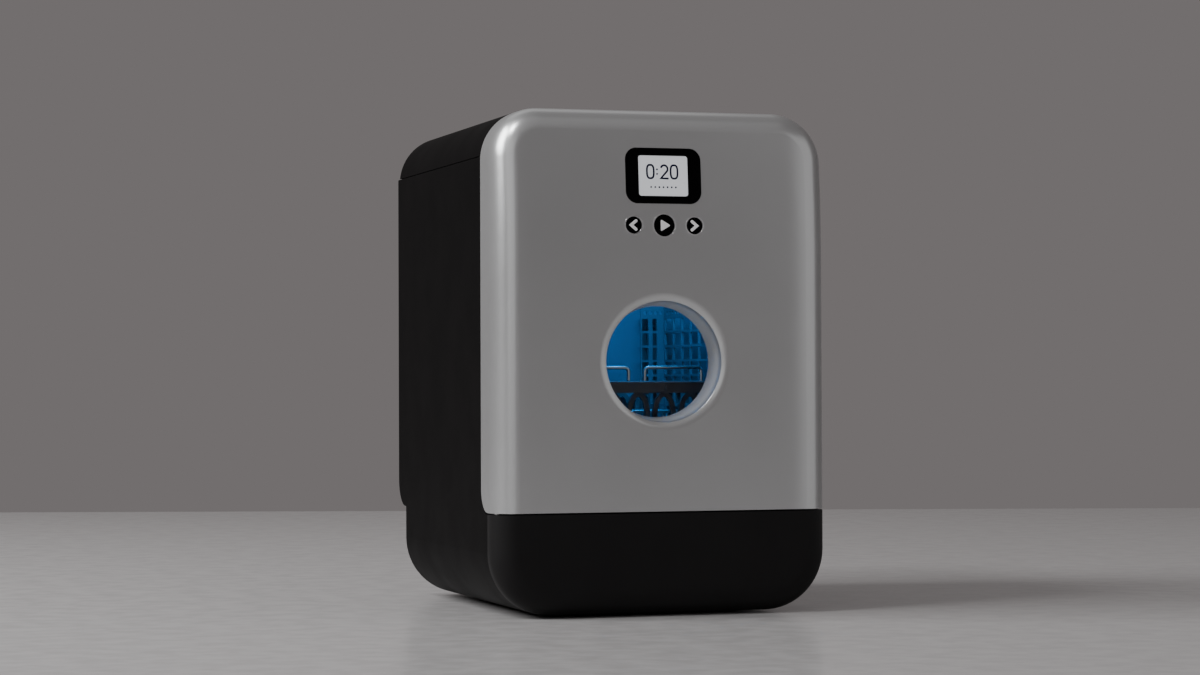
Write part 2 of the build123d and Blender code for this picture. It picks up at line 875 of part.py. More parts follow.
board_margin = 2.0
driver_width = 30.0
driver_height = 20.0
driver_thickness = 4.0
with BuildPart() as display_board:
    with BuildSketch(facing_front(board_y + board_thickness)):
        with Locations((0, (carrier_bottom + carrier_top) / 2)):
            Rectangle(carrier_width - 2 * board_margin, carrier_top - carrier_bottom - 2 * board_margin)
    extrude(amount=board_thickness)
    with BuildSketch(facing_front(board_y + board_thickness)):
        with Locations((0, display_z)):
            Rectangle(driver_width, driver_height)
    extrude(amount=-driver_thickness)
save(display_board.part, "display_board")

# Hinge: lower bracket and pin, upper arm and pin, and the two bearing blocks in the door
bracket_top = plinth_top - frame_thickness
bracket_right = 30.0 - width / 2
bracket_rear_y = front_y + 75.0
bracket_drop = 34.0
bracket_left = pivot_x - arm_end_radius
bracket_front_y = pivot_y - arm_end_radius
leg_front_y = plinth_rear_y + 4.0
with BuildPart() as hinge_bracket:
    with BuildSketch(Plane.XY.offset(bracket_top - bracket_thickness)):
        with Locations(((bracket_left + bracket_right) / 2, (bracket_front_y + bracket_rear_y) / 2)):
            Rectangle(bracket_right - bracket_left, bracket_rear_y - bracket_front_y)
    extrude(amount=bracket_thickness)
    with BuildSketch(Plane.XY.offset(bracket_top)):
        with Locations((bracket_left + arm_plate / 2, (leg_front_y + bracket_rear_y) / 2)):
            Rectangle(arm_plate, bracket_rear_y - leg_front_y)
    extrude(amount=-bracket_drop)
save(hinge_bracket.part, "hinge_bracket")

with BuildPart() as hinge_arm:
    with BuildSketch(Plane.XY.offset(arm_z)):
        with Locations((pivot_x, pivot_y)):
            Circle(arm_end_radius)
        with Locations(((pivot_x + arm_x + arm_thickness / 2) / 2, pivot_y)):
            Rectangle(arm_reach + arm_thickness / 2, arm_thickness)
        with Locations((arm_x, (pivot_y + frame_back_y) / 2)):
            Rectangle(arm_thickness, frame_back_y - pivot_y)
    extrude(amount=arm_height)
    with BuildSketch(facing_front(frame_back_y)):
        with Locations((arm_x, arm_z + arm_height / 2)):
            Rectangle(arm_plate_width, arm_plate_height)
    extrude(amount=-arm_plate)
save(hinge_arm.part, "hinge_arm")

lower_block_z = door_bottom + wall
upper_block_z = arm_z + arm_height + arm_clearance
with BuildPart() as hinge_pins:
    for pin_z, pin_top in (
        (bracket_top, lower_block_z + block_height),
        (arm_z + arm_height, upper_block_z + block_height),
    ):
        with BuildSketch(Plane.XY.offset(pin_z)):
            with Locations((pivot_x, pivot_y)):
                Circle(pin_radius)
        extrude(amount=pin_top - pin_z)
save(hinge_pins.part, "hinge_pins")

with BuildPart() as hinge_blocks:
    for block_z in (lower_block_z, upper_block_z):
        with BuildSketch(Plane.XY.offset(block_z)):
            with Locations((pivot_x + (block_right - arm_end_radius) / 2, pivot_y + block_rear / 2)):
                Rectangle(block_right + arm_end_radius, block_rear)
            with Locations((pivot_x, pivot_y)):
                Circle(arm_end_radius)
                Circle(pin_radius + running_gap, mode=Mode.SUBTRACT)
        extrude(amount=block_height)
save(hinge_blocks.part, "hinge_blocks")

# Door hook with the eye that the lock bolt enters
with BuildPart() as door_hook:
    with BuildSketch(Plane.XY.offset(hook_z - hook_thickness / 2)):
        with Locations((hook_x, (liner_front_y + door_rear_y + hook_reach) / 2)):
            Rectangle(hook_width, door_rear_y + hook_reach - liner_front_y)
        with Locations((hook_x, eye_y)):
            Circle(eye_radius, mode=Mode.SUBTRACT)
    extrude(amount=hook_thickness)
    with BuildSketch(facing_front(liner_front_y)):
        with Locations((hook_x, hook_z)):
            Rectangle(hook_width, 2 * hook_width)
    extrude(amount=hook_thickness / 2)
save(door_hook.part, "door_hook")

# Lock case on the front frame, with the bolt that rises through the hook's eye
lock_left_x = tub_width / 2 + tub_wall + 1
lock_right_x = inner_x
lock_depth = 31.0
lock_half_height = 20.0
lock_back_y = frame_back_y + lock_depth
lock_low_z = hook_z - lock_half_height
lock_high_z = hook_z + lock_half_height
cave_height = hook_thickness + 6.0
bolt_low_z = hook_z - cave_height / 2 - bolt_length + 1.0
with BuildPart() as lock_case:
    with BuildSketch(Plane.XY.offset(lock_low_z)):
        with Locations(((lock_left_x + lock_right_x) / 2, (frame_back_y + lock_back_y) / 2)):
            Rectangle(lock_right_x - lock_left_x, lock_back_y - frame_back_y)
    extrude(amount=lock_high_z - lock_low_z)
    with BuildSketch(Plane.XY.offset(hook_z - cave_height / 2)):
        with Locations(((hook_left_x + slot_right_x - 1) / 2, (frame_back_y + lock_back_y - lock_wall) / 2)):
            Rectangle(slot_right_x - hook_left_x + 1, lock_back_y - lock_wall - frame_back_y)
    extrude(amount=cave_height, mode=Mode.SUBTRACT)
    with BuildSketch(Plane.XY.offset(bolt_low_z)):
        with Locations((hook_x, eye_y)):
            Circle(bolt_radius + running_gap)
    extrude(amount=bolt_length + lock_travel + 1, mode=Mode.SUBTRACT)
save(lock_case.part, "lock_case")

with BuildPart() as lock_bolt:
    with BuildSketch(Plane.XY.offset(bolt_low_z)):
        with Locations((hook_x, eye_y)):
            Circle(bolt_radius)
    extrude(amount=bolt_length)
save(lock_bolt.part, "lock_bolt")

# Tub: rounded chamber open at the front, with holes for the sump and the ceiling sprayer
with BuildPart() as tub:
    with BuildSketch(facing_front(tub_back_y + tub_wall)):
        with Locations((0, tub_z)):
            RectangleRounded(tub_width + 2 * tub_wall, tub_height + 2 * tub_wall, tub_corner + tub_wall)
    extrude(amount=tub_back_y + tub_wall - frame_back_y)
    fillet(tub.faces().sort_by(Axis.Y)[-1].edges(), tub_back_corner + tub_wall)
    with BuildPart(mode=Mode.PRIVATE) as tub_space:
        with BuildSketch(facing_front(tub_back_y)):
            with Locations((0, tub_z)):
                RectangleRounded(tub_width, tub_height, tub_corner)
        extrude(amount=tub_back_y - frame_back_y)
        fillet(tub_space.faces().sort_by(Axis.Y)[-1].edges(), tub_back_corner)
    add(tub_space.part, mode=Mode.SUBTRACT)
    with BuildSketch(Plane.XY.offset(tub_bottom)):
        with Locations((0, tub_y)):
            Circle(sump_radius - sump_wall)
    extrude(amount=-2 * tub_wall, mode=Mode.SUBTRACT)
    with BuildSketch(Plane.XY.offset(tub_top - tub_wall)):
        with Locations((0, sprayer_y)):
            Circle(sprayer_stub)
    extrude(amount=4 * tub_wall, mode=Mode.SUBTRACT)
save(tub.part, "tub")

# Door gasket round the tub's mouth, just short of the liner
with BuildPart() as door_gasket:
    with BuildSketch(facing_front(frame_back_y)):
        with Locations((0, tub_z)):
            RectangleRounded(tub_width, tub_height, tub_corner)
            RectangleRounded(
                tub_width - 2 * gasket_width,
                tub_height - 2 * gasket_width,
                tub_corner - gasket_width,
                mode=Mode.SUBTRACT,
            )
    extrude(amount=frame_back_y - door_rear_y - fit_gap)
save(door_gasket.part, "door_gasket")

# Runners on the tub's sides that carry the basket's rim
runner_top = rim_bottom - slide_gap
wall_x = basket_width / 2 - rim_width + lattice / 2
wall_y = basket_length / 2 - rim_width + lattice / 2
runner_inner_x = wall_x + lattice / 2 + runner_gap
runner_length = basket_length + 6.0
with BuildPart() as basket_runners:
    with BuildSketch(Plane.XY.offset(runner_top)):
        with Locations((0, basket_y)):
            Rectangle(tub_width, runner_length)
            Rectangle(2 * runner_inner_x, runner_length, mode=Mode.SUBTRACT)
    extrude(amount=-runner_height)
save(basket_runners.part, "basket_runners")


def arch_sketch(length):
    """Row of upright arches under the rim, over a wall of the given length, with one arch at its middle."""
    count = 2 * int((length - arch_width) / (2 * arch_pitch)) + 1
    spring_z = rim_bottom + 1 - arch_rise
    with BuildSketch() as arches:
        for inset, mode in ((0, Mode.ADD), (arch_band, Mode.SUBTRACT)):
            with Locations((0, spring_z)):
                with GridLocations(arch_pitch, 1, count, 1):
                    Ellipse(arch_width / 2 - inset, arch_rise - inset, mode=mode)
            with Locations((0, (spring_z + basket_floor_z) / 2)):
                with GridLocations(arch_pitch, 1, count, 1):
                    Rectangle(arch_width - 2 * inset, spring_z - basket_floor_z, mode=mode)
    return arches.sketch


# Basket: rim, looped walls and a lattice floor
rim_corner = 12.0
rim_round = 2.0
hole_size = 16.0
hole_pitch = 22.0
floor_columns = int((2 * wall_x - lattice) / hole_pitch)
floor_rows = int((2 * wall_y - lattice) / hole_pitch)
with BuildPart() as basket:
    with BuildSketch(Plane.XY.offset(rim_bottom)):
        with Locations((0, basket_y)):
            RectangleRounded(basket_width, basket_length, rim_corner)
            RectangleRounded(
                basket_width - 2 * rim_width,
                basket_length - 2 * rim_width,
                rim_corner - rim_width,
                mode=Mode.SUBTRACT,
            )
    extrude(amount=rim_height)
    front_edge = basket.edges().filter_by(Axis.X).group_by(Axis.Z)[-1].sort_by(Axis.Y)[0]
    fillet(front_edge, rim_round)
    for y in (basket_y - wall_y - lattice / 2, basket_y + wall_y - lattice / 2):
        with BuildSketch(facing_front(y + lattice)):
            add(arch_sketch(2 * wall_x))
        extrude(amount=lattice)
    for x in (-wall_x - lattice / 2, wall_x - lattice / 2):
        with BuildSketch(Plane(origin=(x, basket_y, 0), x_dir=(0, 1, 0), z_dir=(1, 0, 0))):
            add(arch_sketch(2 * wall_y))
        extrude(amount=lattice)
    with BuildSketch(Plane.XY.offset(basket_floor_z)):
        with Locations((0, basket_y)):
            Rectangle(2 * wall_x + lattice, 2 * wall_y + lattice)
            with GridLocations(hole_pitch, hole_pitch, floor_columns, floor_rows):
                RectangleRounded(hole_size, hole_size, rim_round, mode=Mode.SUBTRACT)
    extrude(amount=basket_floor)
    with BuildSketch(facing_front(basket_front_y + groove_depth)):
        with Locations((0, groove_z)):
            Rectangle(basket_width - 2 * rim_corner, groove_height)
        with Locations((rib_x, groove_z)):
            Rectangle(rib_width, groove_height, mode=Mode.SUBTRACT)
    extrude(amount=groove_depth, mode=Mode.SUBTRACT)
save(basket.part, "basket")


def wire_arch(x0, x1, y, low, high):
    """Bent wire that rises from the low level at x0, runs across at the high one and comes down at x1."""
    with BuildPart() as arch:
        with BuildLine():
            FilletPolyline((x0, y, low), (x0, y, high), (x1, y, high), (x1, y, low), radius=guard_corner)
        with BuildSketch(Plane(origin=(x0, y, low), z_dir=(0, 0, 1))):
            Circle(wire_radius)
        sweep()
    return arch.part


# Wire guards on the front rim, and cup wires on the basket's floor
floor_top = basket_floor_z + basket_floor
cup_wire_top = 196.0
cup_wire_rows = (-52.0, 6.0, 64.0)
wire_level = guard_top - wire_radius
with BuildPart() as basket_wires:
    for side in (-1, 1):
        inner_x_end = side * guard_inner_x + guard_shift
        outer_x_end = side * guard_outer_x + guard_shift
        add(wire_arch(inner_x_end, outer_x_end, basket_front_y + rim_width / 2, rim_top, wire_level))
        for row in cup_wire_rows:
            add(wire_arch(inner_x_end, outer_x_end, row, floor_top, cup_wire_top))
save(basket_wires.part, "basket_wires")

# Cutlery basket at the right: a low slatted box whose outer side and back rise as a tall lattice
cutlery_outer_x = basket_width / 2 - rim_width - runner_gap
cutlery_x = cutlery_outer_x - cutlery_width / 2
cutlery_y = (cutlery_front_y + cutlery_back_y) / 2
cutlery_length = cutlery_back_y - cutlery_front_y
cutlery_height = cutlery_top - floor_top
window_height = cutlery_rung_pitch - cutlery_rung
end_windows = ((23.2, 7.5), (12.5, 5.0))
with BuildPart() as cutlery_basket:
    with BuildSketch(Plane.XY.offset(floor_top)):
        with Locations((cutlery_x, cutlery_y)):
            Rectangle(cutlery_width, cutlery_length)
    extrude(amount=cutlery_height)
    with BuildSketch(Plane.XY.offset(floor_top + cutlery_wall)):
        with Locations((cutlery_x, cutlery_y)):
            Rectangle(cutlery_width - 2 * cutlery_wall, cutlery_length - 2 * cutlery_wall)
    extrude(amount=cutlery_height, mode=Mode.SUBTRACT)
    with BuildSketch(Plane.XY.offset(cutlery_low_top)):
        with Locations((cutlery_x - cutlery_wall, cutlery_y - cutlery_wall)):
            Rectangle(cutlery_width, cutlery_length)
    extrude(amount=cutlery_height, mode=Mode.SUBTRACT)
    with BuildSketch(facing_side(cutlery_outer_x - cutlery_width)):
        with Locations((cutlery_window_y, cutlery_window_z)):
            with GridLocations(cutlery_pitch, cutlery_rung_pitch, cutlery_windows, cutlery_rows):
                Rectangle(cutlery_pitch - cutlery_bar, window_height)
        with Locations((cutlery_window_y, band_hole_z)):
            with GridLocations(band_hole_pitch, 1, band_holes, 1):
                Circle(band_hole_radius)
    extrude(amount=cutlery_width, mode=Mode.SUBTRACT)
    with BuildSketch(facing_front(cutlery_back_y)):
        for window_inset, window_width in end_windows:
            with Locations((cutlery_outer_x - window_inset, cutlery_window_z)):
                with GridLocations(1, cutlery_rung_pitch, 1, cutlery_rows):
                    Rectangle(window_width, window_height)
        with Locations((cutlery_x, band_hole_z)):
            with GridLocations(end_hole_pitch, 1, end_holes, 1):
                Circle(band_hole_radius)
    extrude(amount=cutlery_length, mode=Mode.SUBTRACT)
save(cutlery_basket.part, "cutlery_basket")

# Air grille on the tub's back wall
grille_wall = 1.5
grille_bar = 2.5
grille_pitch = 6.5
grille_bars = 3
grille_rows = 3
grille_middle_z = (grille_bottom + grille_top) / 2
grille_slot_height = 34.0
grille_slot_pitch = 38.0
with BuildPart() as air_grille:
    with BuildSketch(facing_front(tub_back_y)):
        with Locations(((grille_left_x + grille_right_x) / 2, grille_middle_z)):
            RectangleRounded(grille_right_x - grille_left_x, grille_top - grille_bottom, 2)
    extrude(amount=grille_depth)
    with BuildSketch(facing_front(tub_back_y - grille_wall)):
        with Locations((grille_left_x + 2 * grille_bar + grille_pitch, grille_middle_z)):
            with GridLocations(grille_pitch, grille_slot_pitch, grille_bars, grille_rows):
                Rectangle(grille_pitch - grille_bar, grille_slot_height)
    extrude(amount=grille_depth, mode=Mode.SUBTRACT)
save(air_grille.part, "air_grille")

# Lamp strip under the tub's ceiling, near the door
lamp_length = 150.0
lamp_width = 10.0
lamp_height = 4.0
lamp_y = front_y + 77.0
lamp_corner = 3.0
with BuildPart() as lamp_strip:
    with BuildSketch(Plane.XY.offset(tub_top)):
        with Locations((0, lamp_y)):
            RectangleRounded(lamp_length, lamp_width, lamp_corner)
    extrude(amount=-lamp_height)
save(lamp_strip.part, "lamp_strip")

# Ceiling sprayer, with the stub that the feed pipe meets above the tub
pipe_end_z = tub_top + tub_wall + 2.0
jet_radius = 1.5
jet_circle = 22.0
outer_jets = 10
inner_jets = 6
with BuildPart() as ceiling_sprayer:
    with BuildSketch(Plane.XY.offset(tub_top)):
        with Locations((0, sprayer_y)):
            Circle(sprayer_radius)
    extrude(amount=-sprayer_thickness)
    with BuildSketch(Plane.XY.offset(tub_top)):
        with Locations((0, sprayer_y)):
            Circle(sprayer_stub)
    extrude(amount=pipe_end_z - tub_top)
    with BuildSketch(Plane.XY.offset(tub_top - sprayer_thickness)):
        with Locations((0, sprayer_y)):
            with PolarLocations(jet_circle, outer_jets):
                Circle(jet_radius)
            with PolarLocations(jet_circle / 2, inner_jets):
                Circle(jet_radius)
    extrude(amount=sprayer_thickness / 2, mode=Mode.SUBTRACT)
save(ceiling_sprayer.part, "ceiling_sprayer")

# Sump cup hung under the tub's floor
sump_top = tub_bottom - tub_wall
sump_rim = 2.0
with BuildPart() as sump:
    with BuildSketch(Plane.XY.offset(sump_bottom)):
        with Locations((0, tub_y)):
            Circle(sump_radius)
    extrude(amount=sump_top - sump_bottom)
    with BuildSketch(Plane.XY.offset(sump_top)):
        with Locations((0, tub_y)):
            Circle(sump_radius + sump_flange)
    extrude(amount=-sump_rim)
    with BuildSketch(Plane.XY.offset(sump_bottom + sump_wall)):
        with Locations((0, tub_y)):
            Circle(sump_radius - sump_wall)
    extrude(amount=sump_top - sump_bottom, mode=Mode.SUBTRACT)
save(sump.part, "sump")

# Filter plate over the sump and the filter cup that hangs in it
slit_length = 9.0
slit_width = 2.0
slit_inset = 10.0
outer_slits = 24
inner_slits = 8
inner_slit_arc = -202.5
with BuildPart() as filter_plate:
    with BuildSketch(Plane.XY.offset(tub_bottom)):
        with Locations((0, tub_y)):
            Circle(filter_radius)
            Circle(post_radius + fit_gap, mode=Mode.SUBTRACT)
            with PolarLocations(filter_radius - slit_inset, outer_slits):
                SlotOverall(slit_length, slit_width, mode=Mode.SUBTRACT)
            with PolarLocations(cup_offset, inner_slits, start_angle=-45, angular_range=inner_slit_arc):
                SlotOverall(slit_length, slit_width, mode=Mode.SUBTRACT)
        with Locations((0, tub_y + cup_offset)):
            Circle(cup_radius + fit_gap, mode=Mode.SUBTRACT)
    extrude(amount=filter_thickness)
save(filter_plate.part, "filter_plate")

cup_wall = 1.2
with BuildPart() as filter_cup:
    with BuildSketch(Plane.XY.offset(cup_bottom)):
        with Locations((0, tub_y + cup_offset)):
            Circle(cup_radius)
    extrude(amount=tub_bottom + filter_thickness - cup_bottom)
    with BuildSketch(Plane.XY.offset(tub_bottom + filter_thickness)):
        with Locations((0, tub_y + cup_offset)):
            Circle(cup_radius + cup_flange)
    extrude(amount=filter_thickness)
    with BuildSketch(Plane.XY.offset(cup_bottom + cup_wall)):
        with Locations((0, tub_y + cup_offset)):
            Circle(cup_radius - cup_wall)
    extrude(amount=tub_bottom, mode=Mode.SUBTRACT)
save(filter_cup.part, "filter_cup")

# Spray post, spray arm and its cap nut
post_shoulder = arm_bottom_z - slide_gap
arm_top_z = arm_bottom_z + spray_thickness
nut_height = 6.0
nut_sides = 8
with BuildPart() as spray_post:
    with BuildSketch(Plane.XY.offset(sump_bottom + sump_wall)):
        with Locations((0, tub_y)):
            Circle(post_radius)
    extrude(amount=post_shoulder - sump_bottom - sump_wall)
    with BuildSketch(Plane.XY.offset(post_shoulder)):
        with Locations((0, tub_y)):
            Circle(journal_radius)
    extrude(amount=arm_top_z + slide_gap - post_shoulder)
save(spray_post.part, "spray_post")

nozzle_places = (34.0, 52.0, 70.0, 88.0, 102.0)
nozzle_radius = 1.4
nozzle_offset = 5.0
spray_round = 2.5
hub_radius = 16.0
with BuildPart() as spray_arm:
    with BuildSketch(Plane.XY.offset(arm_bottom_z)):
        with Locations((0, tub_y)):
            SlotOverall(2 * spray_radius, spray_width)
            Circle(hub_radius)
    extrude(amount=spray_thickness)
    fillet(spray_arm.faces().sort_by(Axis.Z)[-1].edges(), spray_round)
    with BuildSketch(Plane.XY.offset(arm_top_z)):
        for place in nozzle_places:
            with Locations((place, tub_y + nozzle_offset), (-place, tub_y - nozzle_offset)):
                Circle(nozzle_radius)
    extrude(amount=-spray_thickness / 2, mode=Mode.SUBTRACT)
    with BuildSketch(Plane.XY.offset(arm_bottom_z)):
        with Locations((0, tub_y)):
            Circle(journal_radius + running_gap)
    extrude(amount=spray_thickness, mode=Mode.SUBTRACT)
save(spray_arm.part, "spray_arm")

with BuildPart() as spray_nut:
    with BuildSketch(Plane.XY.offset(arm_top_z + slide_gap)):
        with Locations((0, tub_y)):
            RegularPolygon(post_radius + 1, nut_sides)
    extrude(amount=nut_height)
save(spray_nut.part, "spray_nut")

# Wash pump: motor with its shaft and foot, impeller and volute
foot_width = 40.0
shaft_front_y = volute_front_y + volute_wall + 3.0
impeller_front_y = shaft_front_y + 2.0
impeller_back_y = volute_back_y - 4.0
with BuildPart() as wash_pump_motor:
    with BuildSketch(facing_front(motor_back_y)):
        with Locations((pump_x, pump_z)):
            Circle(motor_radius)
        with Locations((pump_x, (tray_top + pump_z) / 2)):
            Rectangle(foot_width, pump_z - tray_top)
    extrude(amount=motor_back_y - volute_back_y)
    with BuildSketch(facing_front(volute_back_y)):
        with Locations((pump_x, pump_z)):
            Circle(shaft_radius)
    extrude(amount=volute_back_y - shaft_front_y)
save(wash_pump_motor.part, "wash_pump_motor")

port_height = 6.0
with BuildPart() as pump_volute:
    with BuildSketch(facing_front(volute_back_y)):
        with Locations((pump_x, pump_z)):
            Circle(volute_radius)
    extrude(amount=volute_back_y - volute_front_y)
    with BuildSketch(Plane.XY.offset(pump_z)):
        with Locations((pump_x, (volute_front_y + volute_back_y) / 2)):
            Circle(hose_radius)
    extrude(amount=volute_radius + port_height)
    with BuildSketch(facing_front(volute_back_y)):
        with Locations((pump_x, pump_z)):
            Circle(volute_radius - volute_wall)
    extrude(amount=volute_back_y - volute_front_y - volute_wall, mode=Mode.SUBTRACT)
    with BuildSketch(facing_front(volute_back_y)):
        with Locations((pump_x, pump_z)):
            Circle(hose_bore)
    extrude(amount=volute_back_y - volute_front_y, mode=Mode.SUBTRACT)
    with BuildSketch(Plane.XY.offset(pump_z)):
        with Locations((pump_x, (volute_front_y + volute_back_y) / 2)):
            Circle(hose_bore)
    extrude(amount=volute_radius + port_height, mode=Mode.SUBTRACT)
save(pump_volute.part, "pump_volute")

blade_count = 7
blade_length = impeller_radius - 6.0
blade_thickness = 2.0
with BuildPart() as pump_impeller:
    with BuildSketch(facing_front(impeller_back_y)):
        with Locations((pump_x, pump_z)):
            Circle(impeller_radius)
    extrude(amount=blade_thickness)
    with BuildSketch(facing_front(impeller_back_y - blade_thickness)):
        with Locations((pump_x, pump_z)):
            Circle(3 * shaft_radius)
            with PolarLocations(impeller_radius / 2 + 2, blade_count):
                Rectangle(blade_length, blade_thickness)
    extrude(amount=impeller_back_y - blade_thickness - impeller_front_y)
    with BuildSketch(facing_front(impeller_back_y)):
        with Locations((pump_x, pump_z)):
            Circle(shaft_radius + running_gap)
    extrude(amount=impeller_back_y - impeller_front_y, mode=Mode.SUBTRACT)
save(pump_impeller.part, "pump_impeller")

# Flow heater and drain pump, each on its own foot
heater_x = (heater_left_x + heater_right_x) / 2
with BuildPart() as flow_heater:
    with BuildSketch(Plane(origin=(heater_left_x, tub_y, heater_z), z_dir=(1, 0, 0))):
        Circle(heater_radius)
    extrude(amount=heater_right_x - heater_left_x)
    with BuildSketch(Plane.XY.offset(tray_top)):
        with Locations((heater_x, tub_y)):
            Rectangle(foot_width, heater_radius)
    extrude(amount=heater_z - tray_top)
save(flow_heater.part, "flow_heater")

drain_outlet_y = base_rear_y - 51.0
with BuildPart() as drain_pump:
    with BuildSketch(facing_front(drain_pump_back_y)):
        with Locations((drain_pump_x, drain_pump_z)):
            Circle(drain_pump_radius)
        with Locations((drain_pump_x, (tray_top + drain_pump_z) / 2)):
            Rectangle(drain_pump_radius, drain_pump_z - tray_top)
    extrude(amount=drain_pump_back_y - drain_pump_front_y)
    with BuildSketch(Plane.XY.offset(drain_pump_z)):
        with Locations((drain_pump_x, drain_outlet_y)):
            Circle(hose_radius)
    extrude(amount=drain_pump_radius + 3)
save(drain_pump.part, "drain_pump")

# Hoses
suction_y = -20.0
suction_front_y = -78.0
sump_hose = hose(
    [
        (0, suction_y, sump_bottom),
        (0, suction_y, pump_z),
        (0, suction_front_y, pump_z),
        (pump_x, suction_front_y, pump_z),
        (pump_x, volute_front_y, pump_z),
    ],
    hose_bend,
    Plane(origin=(0, suction_y, sump_bottom), z_dir=(0, 0, -1)),
)

pipe_x = width / 2 - 20.0
pipe_y = (volute_front_y + volute_back_y) / 2
pipe_low_z = pump_z + volute_radius + port_height
pipe_run_z = pipe_low_z + 20.0
pipe_high_z = pipe_end_z + 16.0
feed_pipe = hose(
    [
        (pump_x, pipe_y, pipe_low_z),
        (pump_x, pipe_y, pipe_run_z),
        (pipe_x, pipe_y, pipe_run_z),
        (pipe_x, pipe_y, pipe_high_z),
        (0, pipe_y, pipe_high_z),
        (0, pipe_y, pipe_end_z),
    ],
    hose_bend,
    Plane(origin=(pump_x, pipe_y, pipe_low_z), z_dir=(0, 0, 1)),
)
save(feed_pipe, "feed_pipe")

heater_hose = hose(
    [(heater_right_x, tub_y, heater_z), (0, tub_y, heater_z), (0, tub_y, sump_bottom)],
    hose_bend,
    Plane(origin=(heater_right_x, tub_y, heater_z), z_dir=(1, 0, 0)),
)

suction_x = 20.0
waste_y = 25.0
drain_suction_hose = hose(
    [
        (suction_x, waste_y, sump_bottom),
        (suction_x, waste_y, drain_pump_z),
        (drain_pump_x, drain_pump_front_y, drain_pump_z),
    ],
    hose_bend,
    Plane(origin=(suction_x, waste_y, sump_bottom), z_dir=(0, 0, -1)),
)

spigot_inner_y = base_rear_y - 15.0
drain_outlet_z = drain_pump_z + drain_pump_radius + 3
drain_hose = hose(
    [
        (drain_pump_x, drain_outlet_y, drain_outlet_z),
        (drain_pump_x, drain_outlet_y, connection_z),
        (drain_x, drain_outlet_y, connection_z),
        (drain_x, spigot_inner_y, connection_z),
    ],
    hose_bend,
    Plane(origin=(drain_pump_x, drain_outlet_y, drain_outlet_z), z_dir=(0, 0, 1)),
)

# Drain spigot, and inlet valve with its threaded spout, on the base rear panel
with BuildPart() as drain_spigot:
    with BuildSketch(facing_front(base_rear_y + drain_length)):
        with Locations((drain_x, connection_z)):
            Circle(drain_radius)
    extrude(amount=base_rear_y + drain_length - spigot_inner_y)
    with BuildSketch(facing_front(base_rear_y + nut_thickness)):
        with Locations((drain_x, connection_z)):
            Circle(nut_radius)
    extrude(amount=nut_thickness)
    with BuildSketch(facing_front(base_rear_y + drain_length)):
        with Locations((drain_x, connection_z)):
            Circle(hose_bore)
    extrude(amount=base_rear_y + drain_length - spigot_inner_y, mode=Mode.SUBTRACT)
save(drain_spigot.part, "drain_spigot")

valve_width = 30.0
valve_height = 40.0
valve_front_y = base_rear_y - 33.0
valve_back_y = base_rear_y - 6.0
valve_corner = 3.0
spout_wall = 4.0
spout_nut_sides = 6
with BuildPart() as inlet_valve:
    with BuildSketch(facing_front(base_rear_y + inlet_length + nut_thickness)):
        with Locations((inlet_x, connection_z)):
            Circle(inlet_radius)
    extrude(amount=base_rear_y + inlet_length + nut_thickness - valve_back_y)
    with BuildSketch(facing_front(base_rear_y + nut_thickness)):
        with Locations((inlet_x, connection_z)):
            RegularPolygon(nut_radius, spout_nut_sides)
    extrude(amount=nut_thickness)
    with BuildSketch(facing_front(base_rear_y + inlet_length + nut_thickness)):
        with Locations((inlet_x, connection_z)):
            Circle(inlet_radius - spout_wall)
    extrude(amount=inlet_length, mode=Mode.SUBTRACT)
    with BuildSketch(facing_front(valve_back_y)):
        with Locations((inlet_x, connection_z)):
            RectangleRounded(valve_width, valve_height, valve_corner)
    extrude(amount=valve_back_y - valve_front_y)
save(inlet_valve.part, "inlet_valve")

tank_hose_y = tank_front_y + hose_radius + 1
with BuildPart() as tank_hose:
    with BuildSketch(Plane.XY.offset(connection_z + valve_height / 2)):
        with Locations((inlet_x, tank_hose_y)):
            Circle(hose_radius)
            Circle(hose_bore, mode=Mode.SUBTRACT)
    extrude(amount=shelf_top - connection_z - valve_height / 2)

with BuildPart() as water_hoses:
    for piece in (sump_hose, heater_hose, drain_suction_hose, drain_hose, tank_hose.part):
        add(piece)
save(water_hoses.part, "water_hoses")

# Mains inlet with three flat pins in its socket
socket_flange = 5.0
socket_back_y = base_rear_y + 2.0
pin_pitch = 7.0
pin_width = 2.0
pin_height = 4.0
pin_drop = 2.0
socket_corner = 2.0
with BuildPart() as power_inlet:
    with BuildSketch(facing_front(base_rear_y)):
        with Locations((socket_x, connection_z)):
            RectangleRounded(socket_width + 2 * wall, socket_height + 2 * wall, socket_corner)
    extrude(amount=socket_depth + wall)
    with BuildSketch(facing_front(socket_back_y)):
        with Locations((socket_x, connection_z)):
            RectangleRounded(
                socket_width + 4 * socket_flange,
                socket_height + 2 * socket_flange,
                socket_corner,
            )
    extrude(amount=socket_back_y - base_rear_y)
    with BuildSketch(facing_front(socket_back_y)):
        with Locations((socket_x, connection_z)):
            RectangleRounded(socket_width, socket_height, socket_corner)
    extrude(amount=socket_depth, mode=Mode.SUBTRACT)
    with BuildSketch(facing_front(base_rear_y - 1)):
        for pin_x, pin_z in ((-pin_pitch, -pin_drop), (0, pin_drop), (pin_pitch, -pin_drop)):
            with Locations((socket_x + pin_x, connection_z + pin_z)):
                Rectangle(pin_width, pin_height)
    extrude(amount=socket_depth - 2)
save(power_inlet.part, "power_inlet")

